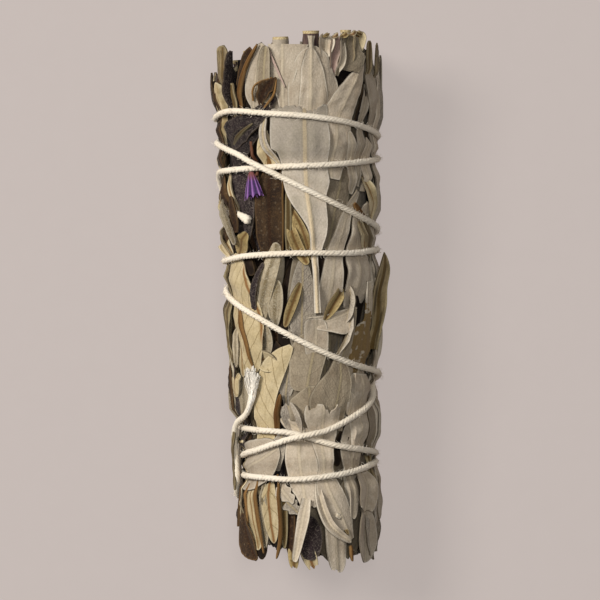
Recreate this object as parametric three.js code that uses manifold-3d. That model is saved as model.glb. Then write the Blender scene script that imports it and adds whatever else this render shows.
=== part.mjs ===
// A dried white sage bundle, bound with cotton twine and laid on its side.
// Millimetres. Y runs along the bundle with the cut stems at +Y, X is across it and +Z is up.
import * as THREE from "three";
import { mergeVertices } from "three/addons/utils/BufferGeometryUtils.js";
import Module from "manifold-3d";

// ---- Driving dimensions ------------------------------------------------------------------

// The bundle's outline at two rings along it: it is thicker and further left at the stem end.
const STEM_RING = { along: 39, centre: -0.5, half: 17.1 };
const TIP_RING = { along: -48, centre: 1.9, half: 14.1 };
const ROUNDNESS = 0.92; // height over width
const SETTLE = 1; // how far the underside is pressed flat
const LEVELLED = 0.8; // leaves less deep than this touch the ground

const GAP = 0.3; // between pieces that touch on the real bundle
const LEAF_THICK = 0.7;
const LEAF_STEP = 8; // along a leaf
const WIDE = 6.5; // a wider leaf has a rib in its middle
const CORE_DEPTH = 2.5; // the squeezed inner leaves start here
const CORE_ENDS = [-46, 46];
const BEDDED = 0.4; // how far leaves are sunk into the squeezed ones
const ROOT_DEPTH = 3.4; // a leaf's base is sunk this deep

const TWINE_RADIUS = 0.65;
const TWINE_DEPTH = 0.75; // of its centre line below the outer leaves
const OVER = 0.25; // depth of the upper strand where two cross
const UNDER = 1.85; // and of the lower one
const BACK_UNDER = 2.5; // and of the lower one on the underside
const HIDDEN = 3; // the lengthwise run under the leaves
const COVERED = 2.7; // deeper than this the leaves close over the twine
const TWINE_STEP = 5.2;
const TWINE_SIDES = 6;

const SIMPLIFY = 0.1;
const SEED = 14;

// ---- The bundle's surface ----------------------------------------------------------------

const radians = THREE.MathUtils.degToRad;
const mix = THREE.MathUtils.lerp;
const smooth = THREE.MathUtils.smoothstep;

function ringAt(along) {
  const t = (STEM_RING.along - along) / (STEM_RING.along - TIP_RING.along);
  const half = mix(STEM_RING.half, TIP_RING.half, t);
  const high = half * ROUNDNESS;
  return { centre: mix(STEM_RING.centre, TIP_RING.centre, t), half, high, axis: high - SETTLE };
}

// A point of the bundle: turn is 0 on top and a right angle at +X. The underside is flattened,
// and the leaves that touch the ground there are pressed level.
function place(turn, along, depth, lowest = Math.max(0, depth - LEVELLED)) {
  const ring = ringAt(along);
  const x = ring.centre + (ring.half - depth) * Math.sin(turn);
  const z = ring.axis + (ring.high - depth) * Math.cos(turn);
  return new THREE.Vector3(x, along, Math.max(z, lowest));
}

// The turn at which a point seen from straight above lies on the surface.
function turnSeen(across, along, depth = 0) {
  const ring = ringAt(along);
  const sine = (across - ring.centre) / (ring.half - depth);
  return Math.asin(THREE.MathUtils.clamp(sine, -1, 1));
}

// Small seeded generator, so that every run places the same leaves.
function seeded(seed) {
  let state = seed;
  return (low, high) => {
    state = (Math.imul(state, 1664525) + 1013904223) >>> 0;
    return low + ((high - low) * state) / 4294967296;
  };
}

// ---- The twine's route -------------------------------------------------------------------

// Each lap crosses the top from left to right as [across, along, depth], then passes behind
// from right to left as [degrees, along, depth]. It starts at the cut end beside the flower.
const LAPS = [
  {
    front: [[-9.9, 15.8, 0.5], [-12.7, 17.3, 0.9], [-14.6, 16, 2.2], [-15.7, 11, HIDDEN],
      [-14.7, 0, HIDDEN], [-13.4, -15, HIDDEN], [-12.4, -25.4, 3.5], [-12, -30.4, 2.4],
      [-9.5, -30.2, 1.1], [-5, -28.6], [-1.6, -27.5, OVER], [2.4, -26.6, OVER],
      [5.7, -25.8], [10.6, -23.3], [14.3, -20.3], [16, -16.8, 1.6]],
    back: [[98, -14, UNDER], [116, -10], [140, -4.4], [170, 2.4, 1.4],
      [187, 6, BACK_UNDER], [205, 10, BACK_UNDER], [222, 13.8], [250, 20.4]],
  },
  {
    front: [[-16.1, 24.8], [-13.7, 25.8], [-9.6, 26.1, UNDER], [-6, 26.3, UNDER],
      [-1, 26.5], [6.1, 26.8], [16.2, 28.3]],
    back: [[120, 28.6], [150, 29.2], [168, 31.1, BACK_UNDER], [184, 33.1, BACK_UNDER],
      [204, 35.3], [235, 36.2]],
  },
  {
    front: [[-16.8, 36.3], [-13.7, 37.5], [-6, 36.9], [1.2, 36.4], [8.2, 35.5], [16.4, 32.8]],
    back: [[130, 32.5], [176, 32.1], [220, 31.8]],
  },
  {
    front: [[-16.4, 31.4], [-12.4, 29], [-9.4, 27.2, OVER], [-6.4, 25.7, OVER],
      [-3.5, 24.3], [1.2, 22], [8.4, 18.5], [13, 16.2], [16.2, 14.2]],
    back: [[130, 12.5], [170, 11.2], [205, 10.1], [240, 9]],
  },
  {
    front: [[-15.6, 7.8], [-9.8, 8.8], [0.2, 9.3], [10.2, 9.3], [16.4, 10.1]],
    back: [[130, 8.5], [160, 7.1], [187, 5.8], [230, 3.7]],
  },
  {
    front: [[-15.3, 1.8], [-9.8, -2.5], [-2, -6.9], [5.5, -10.6], [11.5, -13],
      [16.3, -14.7, OVER]],
    back: [[106, -15.6, OVER], [130, -16.8], [180, -20.1], [232, -23.5], [256, -24.8, 1.5]],
  },
  {
    front: [[-12.8, -25.4, UNDER], [-10.8, -25.6, UNDER], [-7.4, -25.9], [-1.6, -26.4, UNDER],
      [2.4, -27.5, UNDER], [8.2, -29], [16, -30.6]],
    back: [[135, -31.4], [180, -32.4], [230, -33.6], [256, -34.3, 1.5]],
  },
  {
    front: [[-12.5, -34.8, UNDER], [-6.9, -35.3], [-1, -35.6], [8.2, -34.6], [16, -32.3]],
    back: [[120, -33.6], [160, -35.7], [210, -38], [255, -39.4, 0.7], [269, -38.6, 0.4]],
  },
  {
    front: [[-12.4, -35.6, OVER], [-12.7, -31, OVER], [-12.9, -27.4, OVER],
      [-12.5, -24.8, OVER], [-10.6, -22.8, 0.5], [-9.5, -20, 0.5], [-9, -14.2, 0.5]],
    back: [],
  },
];
const FRAY = { length: 7, width: 1.6 }; // the tail's brushed-out end

// The route as turn, along and depth, with the turn growing by a full circle each lap.
function twineStops() {
  const stops = [];
  LAPS.forEach((lap, n) => {
    for (const [across, along, depth = TWINE_DEPTH] of lap.front)
      stops.push([turnSeen(across, along, depth) + n * 2 * Math.PI, along, depth]);
    for (const [degrees, along, depth = TWINE_DEPTH] of lap.back)
      stops.push([radians(degrees) + n * 2 * Math.PI, along, depth]);
  });
  return stops;
}

// The route is smoothed on the unrolled surface, where a turn counts as its arc.
const UNROLLED_RADIUS = 15;
const unrolled = new THREE.CatmullRomCurve3(
  twineStops().map(([turn, along, depth]) =>
    new THREE.Vector3(turn * UNROLLED_RADIUS, along, depth)),
  false, "centripetal");
unrolled.arcLengthDivisions = 1600;

function twineRoute() {
  const steps = Math.round(unrolled.getLength() / TWINE_STEP);
  return unrolled.getSpacedPoints(steps).map((p) => ({
    turn: p.x / UNROLLED_RADIUS, along: p.y, depth: p.z,
  }));
}
const ROUTE = twineRoute();

// ---- Solids ------------------------------------------------------------------------------

const wasm = await Module();
wasm.setup();

function solidFrom(points, faces) {
  const vertices = new Float32Array(points.flatMap((p) => [p.x, p.y, p.z]));
  const build = (list) => new wasm.Manifold(new wasm.Mesh({
    numProp: 3, vertProperties: vertices, triVerts: new Uint32Array(list.flat()),
  }));
  const made = build(faces);
  return made.volume() > 0 ? made : build(faces.map(([a, b, c]) => [a, c, b]));
}

// Rings of equal count joined one after the other, with both ends closed.
function loft(rings) {
  const count = rings[0].length;
  const faces = [];
  for (let i = 1; i < rings.length; i++)
    for (let j = 0; j < count; j++) {
      const k = (j + 1) % count, low = (i - 1) * count, high = i * count;
      faces.push([low + j, low + k, high + k], [low + j, high + k, high + j]);
    }
  const last = (rings.length - 1) * count;
  for (let j = 2; j < count; j++)
    faces.push([0, j, j - 1], [last, last + j - 1, last + j]);
  return solidFrom(rings.flat(), faces);
}

// Two sheets of points, outer and inner, split into triangles alike and joined round the edge.
function sheetSolid(outer, inner) {
  const rows = outer.length, columns = outer[0].length;
  const offset = rows * columns;
  const at = (i, j) => i * columns + j;
  const faces = [];
  for (let i = 1; i < rows; i++)
    for (let j = 1; j < columns; j++) {
      const a = at(i - 1, j - 1), b = at(i - 1, j), c = at(i, j), d = at(i, j - 1);
      faces.push([a, b, c], [a, c, d]);
      faces.push([a + offset, c + offset, b + offset], [a + offset, d + offset, c + offset]);
    }
  const wall = (a, b) => faces.push([b, a, a + offset], [b, a + offset, b + offset]);
  for (let i = 1; i < rows; i++) {
    wall(at(i, 0), at(i - 1, 0));
    wall(at(i - 1, columns - 1), at(i, columns - 1));
  }
  for (let j = 1; j < columns; j++) {
    wall(at(0, j - 1), at(0, j));
    wall(at(rows - 1, j), at(rows - 1, j - 1));
  }
  return solidFrom([...outer.flat(), ...inner.flat()], faces);
}

// ---- Leaves ------------------------------------------------------------------------------

const BLUNT = 0.3; // width of a tip as a share of the leaf's

// Half width along a leaf as a share of its widest: narrow stalk, full blade, blunt tip.
function outline(t, widest) {
  const rise = Math.pow(smooth(t, -0.12, widest), 0.8);
  const fall = 1 - Math.pow(THREE.MathUtils.clamp((t - widest) / (1 - widest), 0, 1), 3);
  return (0.2 + 0.8 * rise) * Math.max(BLUNT, fall);
}

// A leaf: from and to are [turn, along], depth is its own layer, and it is pressed by the twine.
function leafSolid(leaf, grow) {
  const { from, to, width, depth, bow, widest, root, tipDepth, twist } = leaf;
  const arc = (to[0] - from[0]) * (ringAt(from[1]).half - depth);
  const length = Math.hypot(arc, to[1] - from[1]);
  const rows = Math.max(2, Math.round(length / LEAF_STEP));
  const columns = width > WIDE ? [-1, 0, 1] : [-1, 1];
  const side = [(to[1] - from[1]) / length, -arc / length];
  const outer = [], inner = [];
  for (let i = 0; i <= rows; i++) {
    const t = i / rows + (i === 0 ? -grow : i === rows ? grow : 0) / length;
    const half = Math.max(0.25, (width / 2) * outline(t, widest)) + grow;
    const arch = bow * 4 * t * (1 - t);
    const sink = (root - depth) * (1 - smooth(t, 0, 0.22)) + (tipDepth - depth) * smooth(t, 0.75, 1);
    const top = [], under = [];
    for (const column of columns) {
      const off = arch + column * half;
      const along = mix(from[1], to[1], t) + off * side[1];
      const radius = Math.max(2, ringAt(along).half - depth);
      const turn = mix(from[0], to[0], t) + (off * side[0]) / radius;
      const curl = 0.35 * column * column + twist * column;
      const free = depth + sink + curl * (half / 3);
      const backed = Math.abs(along) < CORE_ENDS[1] ? CORE_DEPTH + BEDDED : 0;
      top.push(place(turn, along, free - grow));
      under.push(place(turn, along, Math.max(free + LEAF_THICK, backed) + grow));
    }
    outer.push(top);
    inner.push(under);
  }
  return sheetSolid(outer, inner);
}

const LEAF_FORM = { bow: 0, widest: 0.5, root: ROOT_DEPTH, tipDepth: 0, twist: 0 };

// A leaf seen from above: base and tip as [across, along], width, depth of its layer, and form.
function seenLeaf([baseX, baseY, tipX, tipY, width, depth, form = {}]) {
  const from = [turnSeen(baseX, baseY, depth), baseY];
  const to = [turnSeen(tipX, tipY, depth), tipY];
  return { ...LEAF_FORM, tipDepth: depth, ...form, from, to, width, depth };
}

const TIP_HEAVY = { widest: 0.72 };
const FLAT_STALK = { root: 1.4 };

// The leaves seen on top, by the sprig they grow from.
const SEEN = {
  pale_sprig_1: [
    [2.4, 49.6, 2.4, 33, 10.4, 1.5],
    [2.6, 51.6, 2.6, 29, 7.8, 0.8, FLAT_STALK],
    [3.8, -3, 1.2, 38.8, 11, 0.1, { ...TIP_HEAVY, ...FLAT_STALK }],
    [0.8, 8.5, 0.4, -9.5, 5.6, 0.9],
    [1.2, -6, 11.6, -1, 4.6, 0.5],
    [3.8, -2.4, 3.8, -14.4, 5.4, 0],
    [1.2, -7, 2.2, -23, 9, 0.6],
    [-1.8, -9.6, -3, -22, 3.6, 1],
    [4.4, -16.4, -3, -21.4, 4, 0.9],
    [4.6, -20.4, 5.2, -37, 8, 0.1],
    [-0.8, -26.6, 1, -41, 6.4, 0.7],
    [1.2, -38, -0.6, -51.4, 3.2, 0],
    [7.2, -39, 7.8, -54.2, 5.4, 0.7],
    [3.8, -35, 10.6, -48.6, 3.2, 0.2, { bow: 1.2 }],
  ],
  pale_sprig_2: [
    [8.2, 43, 10.2, 52.2, 3.2, 0.8],
    [13.8, 48.6, 6.2, 22.4, 8, 0.8],
    [10.4, 34.4, 8.2, 11.6, 5, 0.4],
    [12.2, 18, 5.2, -3, 5.8, 0.9],
    [14.2, 18, 13.4, 1.6, 4, 0.1],
    [11.8, 1, 8.6, -10.4, 3.4, 0.2],
    [9.2, -10.4, 6.2, -24, 8.2, 0.2],
    [13.4, -13.6, 12.6, -33, 5.4, 0],
    [7.2, -35, 12.2, -47.4, 4.6, 0.4],
    [12.2, -33, 11.6, -45, 3.4, 0],
    [11.4, -22, 12.4, -40, 6, 1],
  ],
  pale_sprig_3: [
    [14.4, 44, 14.4, 52, 2.6, 0.9],
    [15.6, 47, 16.2, 26, 4.2, 0.5],
    [13.8, 19, 15.2, 9, 3, 0.3],
    [16.2, -9.6, 17.7, 9.4, 4, -0.2, { tipDepth: -1.3, widest: 0.7 }],
    [15.2, 4.6, 13.2, -16.4, 6, 0],
    [16.6, -5, 16.2, -21, 4.4, 0.4],
    [15.8, -16, 15.2, -31, 4.6, 0.4],
    [14.6, -33, 13.8, -43.4, 3.6, 0.1],
    [13.4, -39, 13.4, -52, 3.6, 0.5],
    [15.2, -35, 15.6, -51.6, 3.8, 0.6],
  ],
  brown_sprig_2: [
    [-3.8, 51.6, -4.2, 34.4, 5.6, 0.6, FLAT_STALK],
    [-5.4, 51, -4, 38, 5, 1.5],
    [-9.8, 35.6, -7.4, 50.6, 5, 0.7],
    [-12.4, 36, -9.8, 50.4, 3.4, 1.2],
    [-7.2, 41.6, -14.8, 29.4, 7, 0.4, { bow: 0.8 }],
    [-12.8, 31, -10.8, 11.6, 5.2, 0.8],
    [-7.4, 34.4, -6.2, 25, 4, 0.8],
    [-6.2, 28, -5.8, 7, 6.2, 0.5],
    [-2.4, 20, 2.8, 8.6, 3.4, 0.7],
    [-4.4, 11, -8.8, -4.2, 4.8, 0.2],
    [-4.2, 4.4, -5.4, -5, 3.4, 0.7],
    [-8.2, -3.6, -6.6, -11.4, 4, 0.9],
    [-2.8, -8.4, -7.4, -33.6, 6.8, 0.6],
    [-13, -34.4, -4.6, -29.4, 5.8, 0.2],
    [-6.8, -35, -5.2, -48.6, 3.8, 0.4],
    [-4.8, -35, -4.6, -51.2, 2.6, 0],
    [-2.4, -38, -2.2, -50.8, 3.2, 0.9],
    [-8.6, -36, -7.6, -50, 3.6, 0.7],
  ],
  brown_sprig_1: [
    [-14, 37, -13.8, 49.2, 2.6, 0.7],
    [-16.6, 31, -16.8, 43.6, 3.2, 0.3],
    [-16.4, 34, -16.2, 23, 4, 0.5],
    [-16.6, 23, -14.6, 8.4, 3.6, 0.2],
    [-14.2, 9.6, -9.6, -14.8, 5.6, 0, { bow: 0.6 }],
    [-15.6, 8, -13.6, -10, 4.6, 0.6],
    [-12.4, -3, -11.4, -16, 3.2, 0.5],
    [-13.4, -8, -12.8, -22, 4, 0.4],
    [-11.4, -14.6, -11.2, -23.6, 3.2, 0.8],
    [-12.6, -24, -12.2, -44.6, 4, 0.5],
    [-10.6, -36, -8, -50, 3.6, 0.5],
    [-10, -42, -7.4, -51.6, 3.4, 0.4],
  ],
};

// The sprigs, laid round the bundle: each fills its own sector and holds its leaves.
const SPRIGS = [
  { name: "pale_sprig_1", sector: [-22, 22], colour: 0xa39b86, stem: [4, 1.2] },
  { name: "brown_sprig_2", sector: [-65, -22], colour: 0x6f5f49, stem: [3.2, 1.6] },
  { name: "pale_sprig_2", sector: [22, 62], colour: 0xa9a08b, stem: [3.4, 1.1] },
  { name: "brown_sprig_1", sector: [-110, -65], colour: 0x655744, stem: [5, 1.1] },
  { name: "pale_sprig_3", sector: [62, 105], colour: 0x9b937e, stem: [4.6, 1.3] },
  { name: "under_sprig_1", sector: [105, 150], colour: 0x9a917c, stem: [4.2, 1.5] },
  { name: "under_sprig_2", sector: [150, 205], colour: 0x8b806a, stem: [5.4, 1.4] },
  { name: "under_sprig_3", sector: [205, 250], colour: 0x7a6c56, stem: [4.4, 1.7] },
];

// Leaves on the sides and the underside: rows of shingles that run both ways.
const HIDDEN_ROWS = [[52, 24], [31, 4], [11, -17], [-9, -37], [-28, -53]];
const HIDDEN_PITCH = 24; // degrees between neighbours

function hiddenLeaves([start, end], draw) {
  const count = Math.round((end - start) / HIDDEN_PITCH);
  const leaves = [];
  for (let i = 0; i < count; i++)
    HIDDEN_ROWS.forEach(([high, low], row) => {
      const degrees = mix(start, end, (i + 0.5) / count) + draw(-4, 4);
      const turn = radians(degrees), drift = radians(draw(-9, 9));
      const ends = [[turn, high + draw(-3, 2)], [turn + drift, low + draw(-2, 2)]];
      if ((row + i) % 2) ends.reverse();
      const layer = (i + row) % 3 === 0 ? 0 : (i + row) % 3 === 1 ? 0.45 : 0.9;
      leaves.push({ ...LEAF_FORM, from: ends[0], to: ends[1], width: draw(6.8, 8.8),
        depth: layer, bow: draw(-0.8, 0.8), tipDepth: layer, twist: draw(-0.15, 0.15) });
    });
  return leaves;
}

// Folded leaf ends that stand out of the sprig's cut faces, deeper and deeper towards the axis.
const END_DEPTHS = [4, 8];

function endLeaves([start, end], draw) {
  const leaves = [];
  for (const direction of [-1, 1])
    for (const depth of END_DEPTHS) {
      const turn = radians(mix(start, end, draw(0.35, 0.65)));
      const face = CORE_ENDS[(direction + 1) / 2];
      const from = [turn, face - direction * 3];
      const to = [turn + radians(draw(-6, 6)), face + direction * draw(2, 5)];
      leaves.push({ ...LEAF_FORM, from, to, width: draw(2.6, 4), depth, root: depth,
        tipDepth: depth, widest: 0.6 });
    }
  return leaves;
}

// The squeezed inner leaves and stem wood of one sprig, as a wedge between its neighbours.
const CORE_STATIONS = 3;
const CORE_SPANS = 2;

function coreSolid([start, end], grow) {
  const inset = GAP / 2 - grow; // of its two flat sides
  const middle = radians((start + end) / 2);
  const apexShift = inset / Math.sin(radians((end - start) / 2));
  const ends = [CORE_ENDS[0] - grow, CORE_ENDS[1] + grow];
  const rings = [];
  for (let i = 0; i <= CORE_STATIONS; i++) {
    const along = mix(ends[0], ends[1], i / CORE_STATIONS);
    const ring = ringAt(along);
    const points = [new THREE.Vector3(ring.centre + apexShift * Math.sin(middle), along,
      ring.axis + apexShift * Math.cos(middle))];
    const narrowed = inset / (ring.half - CORE_DEPTH);
    for (let j = 0; j <= CORE_SPANS; j++) {
      const turn = mix(radians(start) + narrowed, radians(end) - narrowed, j / CORE_SPANS);
      points.push(place(turn, along, CORE_DEPTH - grow));
    }
    rings.push(points);
  }
  return loft(rings);
}

// The stem's cut end, which stands out of the bundle.
const STEM_SIDES = 7;
const STEM_REACH = [40, 50.5];

function stemSolid({ sector, stem: [depth, radius] }, grow) {
  const turn = radians((sector[0] + sector[1]) / 2);
  const rings = [STEM_REACH[0] - grow, STEM_REACH[1] + grow].map((along) => {
    const centre = place(turn, along, depth + 1);
    return ringOf(STEM_SIDES, (angle) => centre.clone().add(new THREE.Vector3(
      (radius + grow) * Math.cos(angle), 0, (radius + grow) * Math.sin(angle))));
  });
  return loft(rings);
}

function ringOf(sides, pointAt) {
  return Array.from({ length: sides }, (_, i) => pointAt((2 * Math.PI * i) / sides));
}

// ---- Twine and flower --------------------------------------------------------------------

// Where the twine runs at one stop of its route, with the way ahead, out and to its side.
function twineFrame(i) {
  const at = (k, lift = 0) => place(ROUTE[k].turn, ROUTE[k].along, ROUTE[k].depth - lift,
    ROUTE[k].depth - lift);
  const centre = at(i);
  const ahead = at(Math.min(i + 1, ROUTE.length - 1)).sub(at(Math.max(i - 1, 0))).normalize();
  const out = at(i, 1).sub(centre).normalize();
  const side = new THREE.Vector3().crossVectors(ahead, out).normalize();
  return { centre, ahead, side, out: out.crossVectors(side, ahead) };
}

// How far the tail's end is brushed out at one stop: 0 on the twisted twine, 1 at the tip.
function brushed(i) {
  const last = ROUTE.length - 1;
  return smooth(i, last - FRAY.length / TWINE_STEP, last);
}

function twineSolid() {
  return loft(ROUTE.map((_, i) => {
    const { centre, side, out } = twineFrame(i);
    const wide = mix(TWINE_RADIUS, FRAY.width, brushed(i));
    return ringOf(TWINE_SIDES, (angle) => centre.clone()
      .addScaledVector(side, wide * Math.cos(angle))
      .addScaledVector(out, TWINE_RADIUS * Math.sin(angle)));
  }));
}

// The channel that the twine leaves in the leaves, open at the top unless leaves cover it.
function channelSolid() {
  const last = ROUTE.length - 1;
  return loft(ROUTE.map(({ depth }, i) => {
    const { centre, ahead, side, out } = twineFrame(i);
    const reach = TWINE_RADIUS + GAP;
    const wide = mix(TWINE_RADIUS, FRAY.width, brushed(i)) + GAP;
    const rise = depth < COVERED ? Math.max(reach, depth + GAP) : reach;
    centre.addScaledVector(ahead, i === 0 ? -GAP : i === last ? GAP : 0);
    return [[-1, -reach], [1, -reach], [1, rise], [-1, rise]].map(([way, up]) =>
      centre.clone().addScaledVector(side, way * wide).addScaledVector(out, up));
  }));
}

// The purple calyx is a pleated fan that opens towards the tips, just below a crossing of the
// twine, and its dry stalk shows between the leaves above the crossing.
const CALYX = { apex: [-9.4, 24.8], mouth: [-9, 19.8], width: 4.4, height: 1.5, depth: -0.1, pleats: 7 };
const STALK = { from: [-9.9, 33.4], to: [-9.3, 29.3], radius: 0.5, depth: 0.5 };

function calyxSolid(grow) {
  const rows = 3;
  const outer = [], inner = [];
  for (let i = 0; i <= rows; i++) {
    const t = i / rows;
    const along = mix(CALYX.apex[1], CALYX.mouth[1], t) + (i === 0 ? grow : i === rows ? -grow : 0);
    const across = mix(CALYX.apex[0], CALYX.mouth[0], t);
    const half = mix(0.5, CALYX.width / 2, Math.pow(t, 0.8)) + grow;
    const top = [], under = [];
    for (let j = 0; j <= CALYX.pleats; j++) {
      const share = (2 * j) / CALYX.pleats - 1;
      const pleat = (j % 2 ? 0.5 : 0) * t;
      const turn = turnSeen(across, along) + (share * half) / ringAt(along).half;
      const rise = CALYX.height * (1 - share * share) * t * 0.5;
      const depth = CALYX.depth - rise + pleat;
      top.push(place(turn, along, depth - grow));
      under.push(place(turn, along, depth + 0.8 + rise * 0.6 + grow));
    }
    outer.push(top);
    inner.push(under);
  }
  return sheetSolid(outer, inner);
}

function stalkSolid(grow) {
  const steps = 2;
  const rings = [];
  for (let i = 0; i <= steps; i++) {
    const t = i / steps;
    const reach = i === 0 ? grow : i === steps ? -grow : 0;
    const along = mix(STALK.from[1], STALK.to[1], t) + reach;
    const turn = turnSeen(mix(STALK.from[0], STALK.to[0], t), along);
    const centre = place(turn, along, STALK.depth);
    const radius = STALK.radius + grow;
    rings.push(ringOf(5, (angle) => centre.clone().add(new THREE.Vector3(
      radius * Math.cos(angle), 0, radius * Math.sin(angle)))));
  }
  return loft(rings);
}

// ---- Assembly ----------------------------------------------------------------------------

const union = (solids) => wasm.Manifold.union(solids);

// The one body that a natural piece is: loose scraps and sealed hollows drop out.
function largest(solid) {
  return solid.decompose().reduce((a, b) => (b.volume() > a.volume() ? b : a));
}

function sprigSolids(sprig, draw) {
  const under = sprig.name.startsWith("under") || sprig.name.endsWith("sprig_3")
    || sprig.name === "brown_sprig_1";
  const leaves = (SEEN[sprig.name] || []).map(seenLeaf);
  if (under) leaves.push(...hiddenLeaves(hiddenSector(sprig), draw));
  leaves.push(...endLeaves(sprig.sector, draw));
  const shaped = (grow) => union([coreSolid(sprig.sector, grow), stemSolid(sprig, grow),
    ...leaves.map((leaf) => leafSolid(leaf, grow))]);
  return { exact: shaped(0), grown: shaped(GAP) };
}

// The seen leaves cover the top half, so the rule fills a sector only below the horizon.
function hiddenSector({ sector: [start, end] }) {
  if (start < 0) return [start, Math.min(end, -88)];
  return [Math.max(start, 88), end];
}

function meshOf(name, colour, solid) {
  const { vertProperties, triVerts } = solid.getMesh();
  const geometry = new THREE.BufferGeometry();
  geometry.setAttribute("position", new THREE.BufferAttribute(vertProperties, 3));
  geometry.setIndex(new THREE.BufferAttribute(triVerts, 1));
  const merged = mergeVertices(geometry, 1e-3);
  const material = new THREE.MeshStandardMaterial({ color: colour, roughness: 0.9, metalness: 0 });
  const mesh = new THREE.Mesh(merged, material);
  mesh.name = name;
  return mesh;
}

function buildBundle() {
  const group = new THREE.Group();
  const twine = twineSolid();
  const channel = channelSolid();
  let taken = union([channel, calyxSolid(GAP), stalkSolid(GAP)]);
  const draw = seeded(SEED);
  for (const sprig of SPRIGS) {
    const { exact, grown } = sprigSolids(sprig, draw);
    const cut = exact.subtract(taken).trimByPlane([0, 0, 1], 0);
    group.add(meshOf(sprig.name, sprig.colour, largest(largest(cut).simplify(SIMPLIFY))));
    taken = taken.add(grown);
  }
  group.add(meshOf("cotton_twine", 0xd8cdba, twine));
  group.add(meshOf("statice_calyx", 0x5a3c92, calyxSolid(0)));
  group.add(meshOf("statice_stalk", 0x5b4431, stalkSolid(0)));
  return group;
}

// Centres the bundle's box over the origin.
const SHIFT_ALONG = 0.56;

const bundle = buildBundle();
bundle.name = "sage_bundle";
bundle.position.y = SHIFT_ALONG;

export default bundle;
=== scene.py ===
# %% [markdown]
# # A bundle of dried white sage, bound with cotton twine
# Whole sprigs of white sage are laid together while they are soft, bound tight with one length of
# cotton twine and hung up to dry. The leaves shrink, curl and overlap like shingles, the twine
# bites into them, and dark gaps open between them. The plain solids give the size and the
# course of the twine; this lesson makes every leaf, thread and cut stem that is seen.
# %% Load the plain solids
import math
import bpy
import numpy as np
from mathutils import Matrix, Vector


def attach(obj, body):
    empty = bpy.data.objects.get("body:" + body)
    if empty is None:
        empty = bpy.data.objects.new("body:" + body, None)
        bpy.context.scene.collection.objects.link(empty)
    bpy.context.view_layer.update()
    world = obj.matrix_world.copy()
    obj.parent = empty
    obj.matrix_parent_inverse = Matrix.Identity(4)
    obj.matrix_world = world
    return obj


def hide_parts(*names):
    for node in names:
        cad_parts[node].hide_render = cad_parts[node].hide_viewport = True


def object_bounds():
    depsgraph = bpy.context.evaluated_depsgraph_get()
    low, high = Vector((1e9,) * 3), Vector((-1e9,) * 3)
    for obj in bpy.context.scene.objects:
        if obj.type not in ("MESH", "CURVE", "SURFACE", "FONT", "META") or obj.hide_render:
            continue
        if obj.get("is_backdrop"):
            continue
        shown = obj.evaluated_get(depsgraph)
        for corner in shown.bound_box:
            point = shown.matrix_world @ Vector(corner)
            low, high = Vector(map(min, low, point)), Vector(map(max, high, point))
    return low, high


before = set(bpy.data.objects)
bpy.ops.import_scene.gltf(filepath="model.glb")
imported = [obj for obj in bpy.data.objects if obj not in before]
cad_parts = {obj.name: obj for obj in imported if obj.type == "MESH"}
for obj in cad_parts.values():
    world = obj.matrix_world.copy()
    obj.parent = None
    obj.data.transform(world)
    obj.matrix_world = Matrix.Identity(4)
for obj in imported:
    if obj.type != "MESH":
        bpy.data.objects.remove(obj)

CAD_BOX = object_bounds()
bpy.ops.object.select_all(action="DESELECT")
print("solids:", ", ".join(sorted(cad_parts)))

# %% [markdown]
# ## The bundle's own coordinates
# A leaf on a round bundle is easier to place on a map than in space. The map's three numbers are
# the turn round the bundle (0 on top, a right angle at +X), the distance along it, and the depth
# below its outer leaves. `place` brings such points back into space. It is the same function as
# the solids use, with its ring sizes, so nothing has to be fitted afterwards. Where the bundle
# lies on the ground it is pressed flat, and deeper leaves lie above the outer ones.
# %% From the map to space
MM = 0.001
CENTRED = 0.56  # the solids are moved by this much along the bundle, in mm
STEM_RING = dict(along=39, centre=-0.5, half=17.1)
TIP_RING = dict(along=-48, centre=1.9, half=14.1)
ROUNDNESS = 0.92  # height over width
SETTLE = 1  # how far the underside is pressed flat
LEVELLED = 3.0  # deeper layers than this aren't pressed flat
CREASE = 0.5  # how softly the flat underside begins


def ring_at(along):
    t = (STEM_RING["along"] - along) / (STEM_RING["along"] - TIP_RING["along"])
    centre = STEM_RING["centre"] + (TIP_RING["centre"] - STEM_RING["centre"]) * t
    half = STEM_RING["half"] + (TIP_RING["half"] - STEM_RING["half"]) * t
    return centre, half


def place(turn, along, depth):
    centre, half = ring_at(along)
    high = half * ROUNDNESS
    x = centre + (half - depth) * np.sin(turn)
    z = high - SETTLE + (high - depth) * np.cos(turn)
    lowest = np.clip(depth, 0, LEVELLED)
    over = z - lowest
    z = lowest + (over + np.sqrt(over**2 + CREASE**2)) / 2
    return np.stack([x, along + 0 * x, z], axis=-1)


def turn_seen(across, along, depth):
    """The turn of a point that is seen from straight above."""
    centre, half = ring_at(along)
    return np.arcsin(np.clip((across - centre) / (half - depth), -1, 1))


def smooth(low, high, value):
    t = np.clip((value - low) / (high - low), 0, 1)
    return t * t * (3 - 2 * t)


print("the bundle is", round(2 * STEM_RING["half"], 1), "mm wide at its stem end")

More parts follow.
